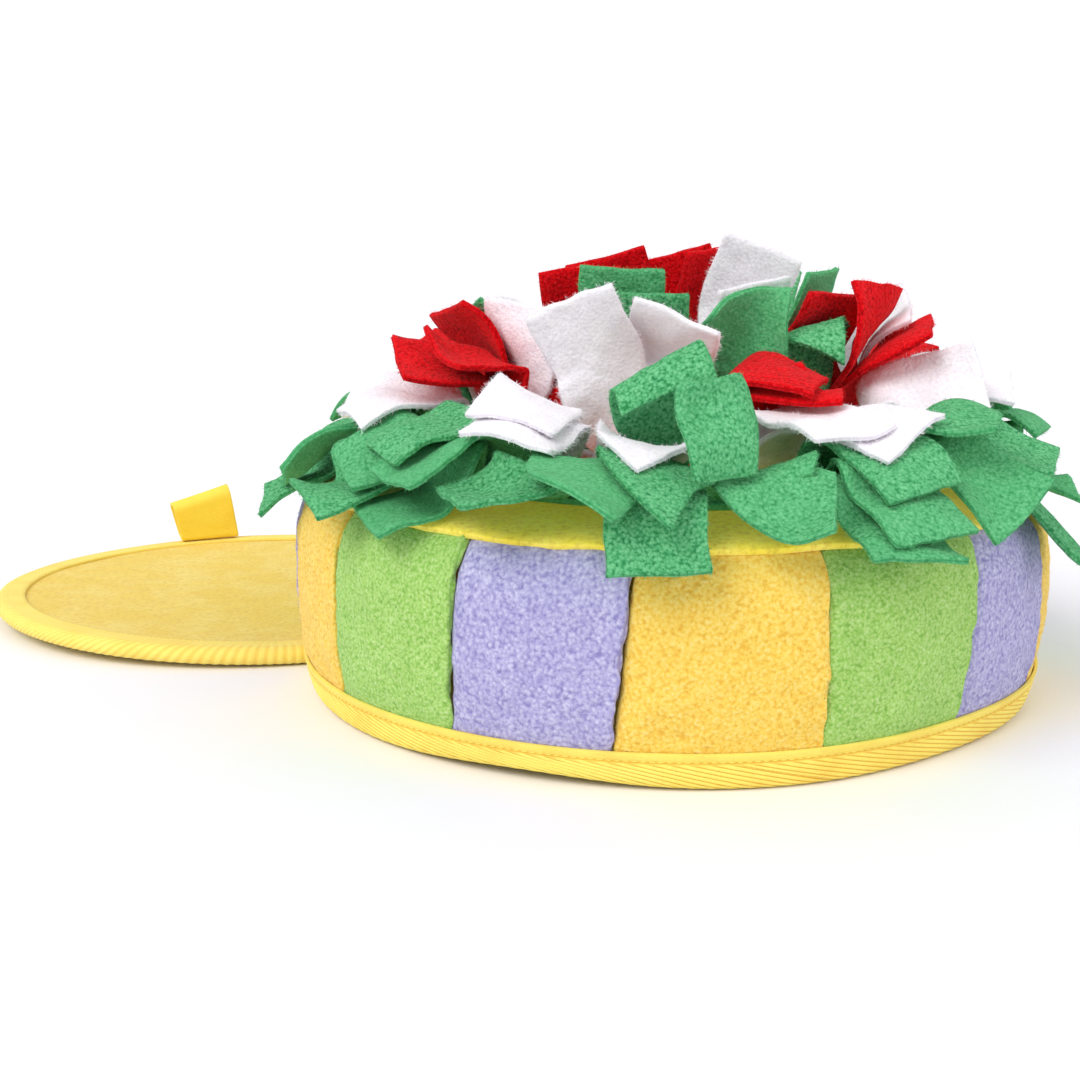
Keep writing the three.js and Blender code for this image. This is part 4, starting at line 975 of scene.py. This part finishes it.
# Grid of a petal's middle surface
def petalGrid(ring, pose):
    radius, lean, length, flopped = ring
    rootAt, tipAt, reach, high, heading, pitch, tilt, cupTip = pose
    bed = topHeight(radius) + drum["topThickness"] + petal["gap"]
    lean, pitch, tilt = (math.radians(angle) for angle in (lean, pitch, tilt))
    up = np.array([0.0, 0.0, 1.0])
    root = polar(rootAt, radius, bed + petal["stripHeight"] - petal["rootDepth"])
    rootWay = up * math.cos(lean) + outward(np.float64(rootAt)) * math.sin(lean)
    tipWay = outward(np.float64(heading)) * math.cos(pitch) + up * math.sin(pitch)
    line = centreLine(root, rootWay, polar(tipAt, reach, high), tipWay, length)
    level = around(np.float64(heading))
    tipAcross = level * math.cos(tilt) + np.cross(tipWay, level) * math.sin(tilt)
    ways = unit(np.gradient(line, axis=0))
    ways[0] = rootWay
    ways[-1] = tipWay
    across = [around(np.float64(rootAt if flopped else heading))]
    for way in ways[1:]:
        across.append(unit(across[-1] - way * (across[-1] @ way)))
    twist = math.atan2(tipAcross @ np.cross(tipWay, across[-1]), tipAcross @ across[-1])
    rows = []
    for i, (point, way, side) in enumerate(zip(line, ways, across)):
        s = i / petal["rows"]
        turn = twist * smooth(s, 0, petal["twistEnd"])
        side = side * math.cos(turn) + np.cross(way, side) * math.sin(turn)
        face = np.cross(way, side)
        cup = math.radians(petal["rootCup"] * (1 - s) ** 2 + cupTip * s)
        spread = math.sin(math.pi / 2 * min(1, s / petal["fullWidthAt"]))
        span = petal["width"] * (petal["rootWidth"] + (1 - petal["rootWidth"]) * spread)
        u = np.arange(petal["columns"] + 1) / petal["columns"] - 0.5
        bend = np.where(np.abs(cup * u) > 1e-9, cup * u, 1e-6)
        curve = (span * u / bend)[:, None]
        rows.append(point + side * curve * np.sin(bend)[:, None] + face * curve * (1 - np.cos(bend))[:, None])
    return np.array(rows)


petals = []
for layer, (ringName, ring) in enumerate(rings.items()):
    poses = []
    for pose in posed[ringName]:
        own = pose[7] if len(pose) > 7 else layer
        poses.append((own, pose[:7] + (petal["cupMean"] + jitter(petal["cupSpread"]),)))
    first, last, count, reach, high, slope = backRows.get(ringName, (0, 0, 0, 0, 0, 0))
    for k in range(count):
        rootAt = first + (last - first) * (k + 0.5) / count + jitter(backSpread["root"])
        tipAt = rootAt + jitter(backSpread["tip"])
        pose = [rootAt, tipAt]
        means = {"reach": reach, "height": high, "heading": tipAt, "pitch": slope, "tilt": 0}
        for label, mean in means.items():
            pose.append(mean + jitter(backSpread[label]))
        pose.append(petal["cupMean"] + jitter(petal["cupSpread"]))
        poses.append((layer, tuple(pose)))
    petals += [(own, ringName, petalGrid(ring, pose)) for own, pose in poses]
petals.sort(key=lambda one: one[0])
owners = np.array([one[1] for one in petals])
grids = np.array([one[2] for one in petals])


# Weights of the grid's corners at points spread over a petal, the root left out
def sampleWeights():
    step = settling["perStep"]
    rows, columns = petal["rows"], petal["columns"]
    weights = []
    for i in range(2, rows * step + 1):
        for j in range(columns * step + 1):
            a, b = min(rows - 1, i // step), min(columns - 1, j // step)
            s, t = i / step - a, j / step - b
            spread = np.zeros((rows + 1, columns + 1))
            spread[a:a + 2, b:b + 2] = np.outer((1 - s, s), (1 - t, t))
            weights.append(spread.ravel())
    return np.array(weights)


# Contacts: each sample with the nearest sample of every other petal within reach
def findContacts(points, reach):
    low = points.min(1) - reach / 2
    high = points.max(1) + reach / 2
    near = np.all((low[:, None] < high[None]) & (low[None] < high[:, None]), -1)
    one, other = np.nonzero(np.triu(near, 1))
    samples = points.shape[1]
    found = []
    atOnce = settling["pairsAtOnce"]
    for k in range(0, len(one), atOnce):
        a, b = one[k:k + atOnce], other[k:k + atOnce]
        square = (points[a] ** 2).sum(-1)[:, :, None] + (points[b] ** 2).sum(-1)[:, None, :]
        square -= 2 * points[a] @ points[b].transpose(0, 2, 1)
        for axis, mine, theirs in ((2, a, b), (1, b, a)):
            best = square.argmin(axis)
            close = square.min(axis) < reach ** 2
            pair, at = np.nonzero(close)
            found.append(np.stack([mine[pair] * samples + at, theirs[pair] * samples + best[pair, at]]))
    return np.concatenate(found, 1)


# Presses petals off each other and off the drum: each lies on the upper face of those in lower layers
def keepApart(grids):
    count, rows, columns = grids.shape[:3]
    weights = sampleWeights()
    samples = len(weights)
    rest = grids.copy()
    spans = []
    for di, dj in ((1, 0), (0, 1), (1, 1), (1, -1), (2, 0), (0, 2)):
        firmness = settling["bendFirmness"] if 2 in (di, dj) else settling["threadFirmness"]
        for i in range(rows - di):
            for j in range(max(0, -dj), columns - max(0, dj)):
                want = np.linalg.norm(grids[:, i + di, j + dj] - grids[:, i, j], axis=-1)
                spans.append((i, j, i + di, j + dj, want, firmness))
    apart = petal["thickness"] + settling["restGap"]
    cover = settling["drumClearance"] + petal["thickness"] / 2
    stripEnd = rings["green_outer"][0] + petal["stripWidth"]
    loose = np.minimum(1, np.arange(rows) / 2)[None, :, None, None] * settling["moveEase"]
    for step in range(settling["rounds"]):
        points = np.einsum("sk,pkc->psc", weights, grids.reshape(count, -1, 3))
        normals = gridNormals(grids)[0].reshape(count, -1, 3)
        normals = unit(np.einsum("sk,pkc->psc", weights, normals)).reshape(-1, 3)
        if step % settling["searchEvery"] == 0:
            mine, theirs = findContacts(points, settling["reach"])
            above = (mine // samples > theirs // samples)[:, None]
        points = points.reshape(-1, 3)
        way = np.where(above, normals[theirs], -normals[mine])
        short = apart - ((points[mine] - points[theirs]) * way).sum(-1)
        hit = short > 0
        push = np.zeros_like(points)
        hits = np.zeros(len(points))
        np.add.at(push, mine[hit], way[hit] * short[hit][:, None] / 2)
        np.add.at(hits, mine[hit], 1)
        radius = np.hypot(points[:, 0], points[:, 1])
        high = points[:, 2]
        bed = topHeight(radius) + drum["topThickness"] + np.where(radius < stripEnd, petal["stripHeight"], 0)
        onTop = (radius < drum["seamRadius"] + 1) & (high < bed + cover)
        push[onTop, 2] += (bed + cover - high)[onTop]
        wall = wallRadius(np.minimum(high, drum["seamHeight"])) + cover
        beside = ~onTop & (high < drum["seamHeight"] + drum["topThickness"]) & (radius < wall)
        push[beside, :2] += (points[:, :2] / radius[:, None] * (wall - radius)[:, None])[beside]
        hits += onTop | beside
        pressed = (hits > 0).reshape(count, samples)
        push = (push / np.maximum(hits, 1)[:, None]).reshape(count, samples, 3)
        sums = np.einsum("sk,psc->pkc", weights, push)
        load = np.maximum(pressed @ weights, settling["leastWeight"])
        moves = (sums / load[..., None]).reshape(grids.shape)
        padded = np.pad(moves, ((0, 0), (1, 1), (1, 1), (0, 0)), "edge")
        mean = 2 * moves + padded[:, :-2, 1:-1] + padded[:, 2:, 1:-1]
        mean = mean + padded[:, 1:-1, :-2] + padded[:, 1:-1, 2:]
        grids = grids + mean / 6 * loose
        for i, j, k, l, want, firmness in spans:
            between = grids[:, k, l] - grids[:, i, j]
            size = np.maximum(np.linalg.norm(between, axis=-1), 1e-9)
            move = between * (firmness * (1 - want / size) / 2)[:, None]
            if i > 0:
                grids[:, i, j] += move
            if k > 0:
                grids[:, k, l] -= move
        if step < settling["rounds"] * settling["anchorShare"]:
            grids += (rest - grids) * settling["anchorPull"]
    return grids


grids = keepApart(grids)
print("petals settled")


# Fine cloth over the settled grids: cut edges that waver, small lumps in the nap
def finePetals(grids):
    rows, columns = petal["fineRows"], petal["fineColumns"]
    batch = len(grids)
    toRows = splineWeights(petal["rows"] + 1, rows)
    toColumns = splineWeights(petal["columns"] + 1, columns)
    fine = np.einsum("ri,pijk,cj->prck", toRows, grids, toColumns)
    normals, along, across = gridNormals(fine)
    calmRoot = smooth(np.linspace(0, 1, rows), *petal["calmRoot"])[None, :, None]
    lumps = ripple(batch, rows, columns, *petal["lumpKnots"]) * petal["lump"] * calmRoot
    fade = np.exp(-np.arange(columns) * petal["width"] / (columns - 1) / petal["waverReach"])
    sides = ripple(batch, rows, 2, petal["sideKnots"], 2) * petal["waver"] * calmRoot
    shift = sides[:, :, :1] * fade + sides[:, :, 1:] * fade[::-1]
    fromTip = np.arange(rows)[::-1] * petal["waverLength"] / (rows - 1)
    tipFade = np.exp(-fromTip / petal["waverReach"])[None, :, None]
    tips = ripple(batch, columns, 1, petal["tipKnots"], 2)[:, None, :, 0] * petal["waver"] * tipFade
    return fine + normals * lumps[..., None] + across * shift[..., None] + along * tips[..., None]


# The strip that a ring's petals are sewn on
def stripMesh(radius):
    inside = radius - petal["stripWidth"] / 2
    outside = radius + petal["stripWidth"] / 2
    ring = np.linspace(inside, outside, petal["stripRows"])[:, None]
    columns = round(petal["stripColumns"] + radius)
    azimuth = np.arange(columns)[None, :] * 360 / columns
    bed = topHeight(ring) + drum["topThickness"] + petal["gap"] + petal["stripHeight"] / 2
    return clothMesh(polar(azimuth, ring, bed)[None], petal["stripHeight"], wrap=True)


petalFinish = {**fleeceFinish, "Specular IOR Level": 0.04, "Sheen Weight": 0.05}
petalBump = {"strength": 0.9, "depth": 0.7}
petalMarks = [("CutShade", "cut"), ("Nap", "nap")]
petalCloth, petalFuzz = fleecePair("", fleeceColours, petalFinish, petalBump, petalMarks)
for ringName, ring in rings.items():
    radius, length = ring[0], ring[2]
    fine = settled(finePetals(grids[owners == ringName]))
    colour = ringName.split("_")[0]
    points, faces, cut = clothMesh(fine, petal["thickness"])
    stripPoints, stripFaces, stripCut = stripMesh(radius)
    faces = np.concatenate([faces, stripFaces + len(points)])
    points = np.concatenate([points, settled(stripPoints)])
    count = len(fine)
    leastNap, mostNap = napRange[colour]
    nap = leastNap + (mostNap - leastNap) * chance.random(count)
    nap = np.concatenate([np.repeat(nap, len(cut) // count), stripCut * 0 + leastNap])
    # The cut marks carry painted shade along the petals' cut edges; the strip gets none
    marks = {"cut": np.concatenate([cut, stripCut * 0]), "nap": nap}
    slot = f"fleece_{colour}"
    nodes = [f"petals_{ringName}"]
    ringPiece = addPiece(f"fleece_{ringName}", points, faces, petalCloth[colour], slot, nodes, marks)
    edgeFuzz = round(petal["edgeFuzz"] * edgeShare[colour])
    feet, ways = strew(fine, petal["thickness"], petal["faceFuzz"], edgeFuzz, petal["fuzzFrom"])
    fuzzLength = petal["fuzzLength"] * edgeShare[colour] ** 0.5
    lengths = fuzzLength * (petal["leastFuzz"] + chance.random(len(feet)))
    slivers = fibres(feet, ways, lengths, petal["fuzzWidth"])
    fuzz = addPiece(f"fuzz_{ringName}", *slivers, petalFuzz[colour], slot)
print("petals done")

# Floor, world, lights and camera
studio = {
    "floorHalf": 8.0, "floorColour": "f3f2f7", "floorRoughness": 0.9, "floorShine": 0.1,
    "world": 0.76, "backdrop": 1.05,
    "keyPower": 1.6, "keyFrom": (-0.64, -0.7, 0.9), "keySpread": 35,
    "fillPower": 0.6, "fillFrom": (0.8, -0.5, 0.5), "fillSpread": 60,
    "eye": (-48.3, -650, 191.7), "tilt": 77.81, "lens": 58.4, "sensor": 36,
}
half = studio["floorHalf"] / mm
floorPoints = np.array([(-half, -half, 0), (half, -half, 0), (half, half, 0), (-half, half, 0)], float)
floorMaterial = bpy.data.materials.new("floor")
floorMaterial.use_nodes = True
floorShader = floorMaterial.node_tree.nodes["Principled BSDF"]
floorShader.inputs["Base Color"].default_value = linear(studio["floorColour"])
floorShader.inputs["Roughness"].default_value = studio["floorRoughness"]
floorShader.inputs["Specular IOR Level"].default_value = studio["floorShine"]
floor = makePiece("floor", floorPoints, np.array([[0, 1, 2, 3]]), floorMaterial)

scene = bpy.context.scene
world = bpy.data.worlds.new("studio")
world.use_nodes = True
backdrop = world.node_tree.nodes["Background"]
backdrop.inputs["Color"].default_value = white
seen = world.node_tree.nodes.new("ShaderNodeLightPath").outputs["Is Camera Ray"]
strength = ranged(world.node_tree, seen, 0.0, 1.0, studio["world"], studio["backdrop"])
feed(world.node_tree, backdrop.inputs["Strength"], strength)
scene.world = world
scene.view_settings.view_transform = "Standard"


def addSun(name, origin, power, spread):
    data = bpy.data.lights.new(name, "SUN")
    data.energy = power
    data.angle = math.radians(spread)
    light = bpy.data.objects.new(name, data)
    side = math.hypot(origin[0], origin[1])
    light.rotation_euler = (math.atan2(side, origin[2]), 0, math.atan2(origin[0], -origin[1]))
    light.location = origin
    scene.collection.objects.link(light)


addSun("key", studio["keyFrom"], studio["keyPower"], studio["keySpread"])
addSun("fill", studio["fillFrom"], studio["fillPower"], studio["fillSpread"])
lens = bpy.data.cameras.new("camera")
lens.lens = studio["lens"]
lens.sensor_width = studio["sensor"]
camera = bpy.data.objects.new("camera", lens)
camera.location = np.array(studio["eye"]) * mm + axisPlace
camera.rotation_euler = (math.radians(studio["tilt"]), 0, 0)
scene.collection.objects.link(camera)
scene.camera = camera
print("studio done")
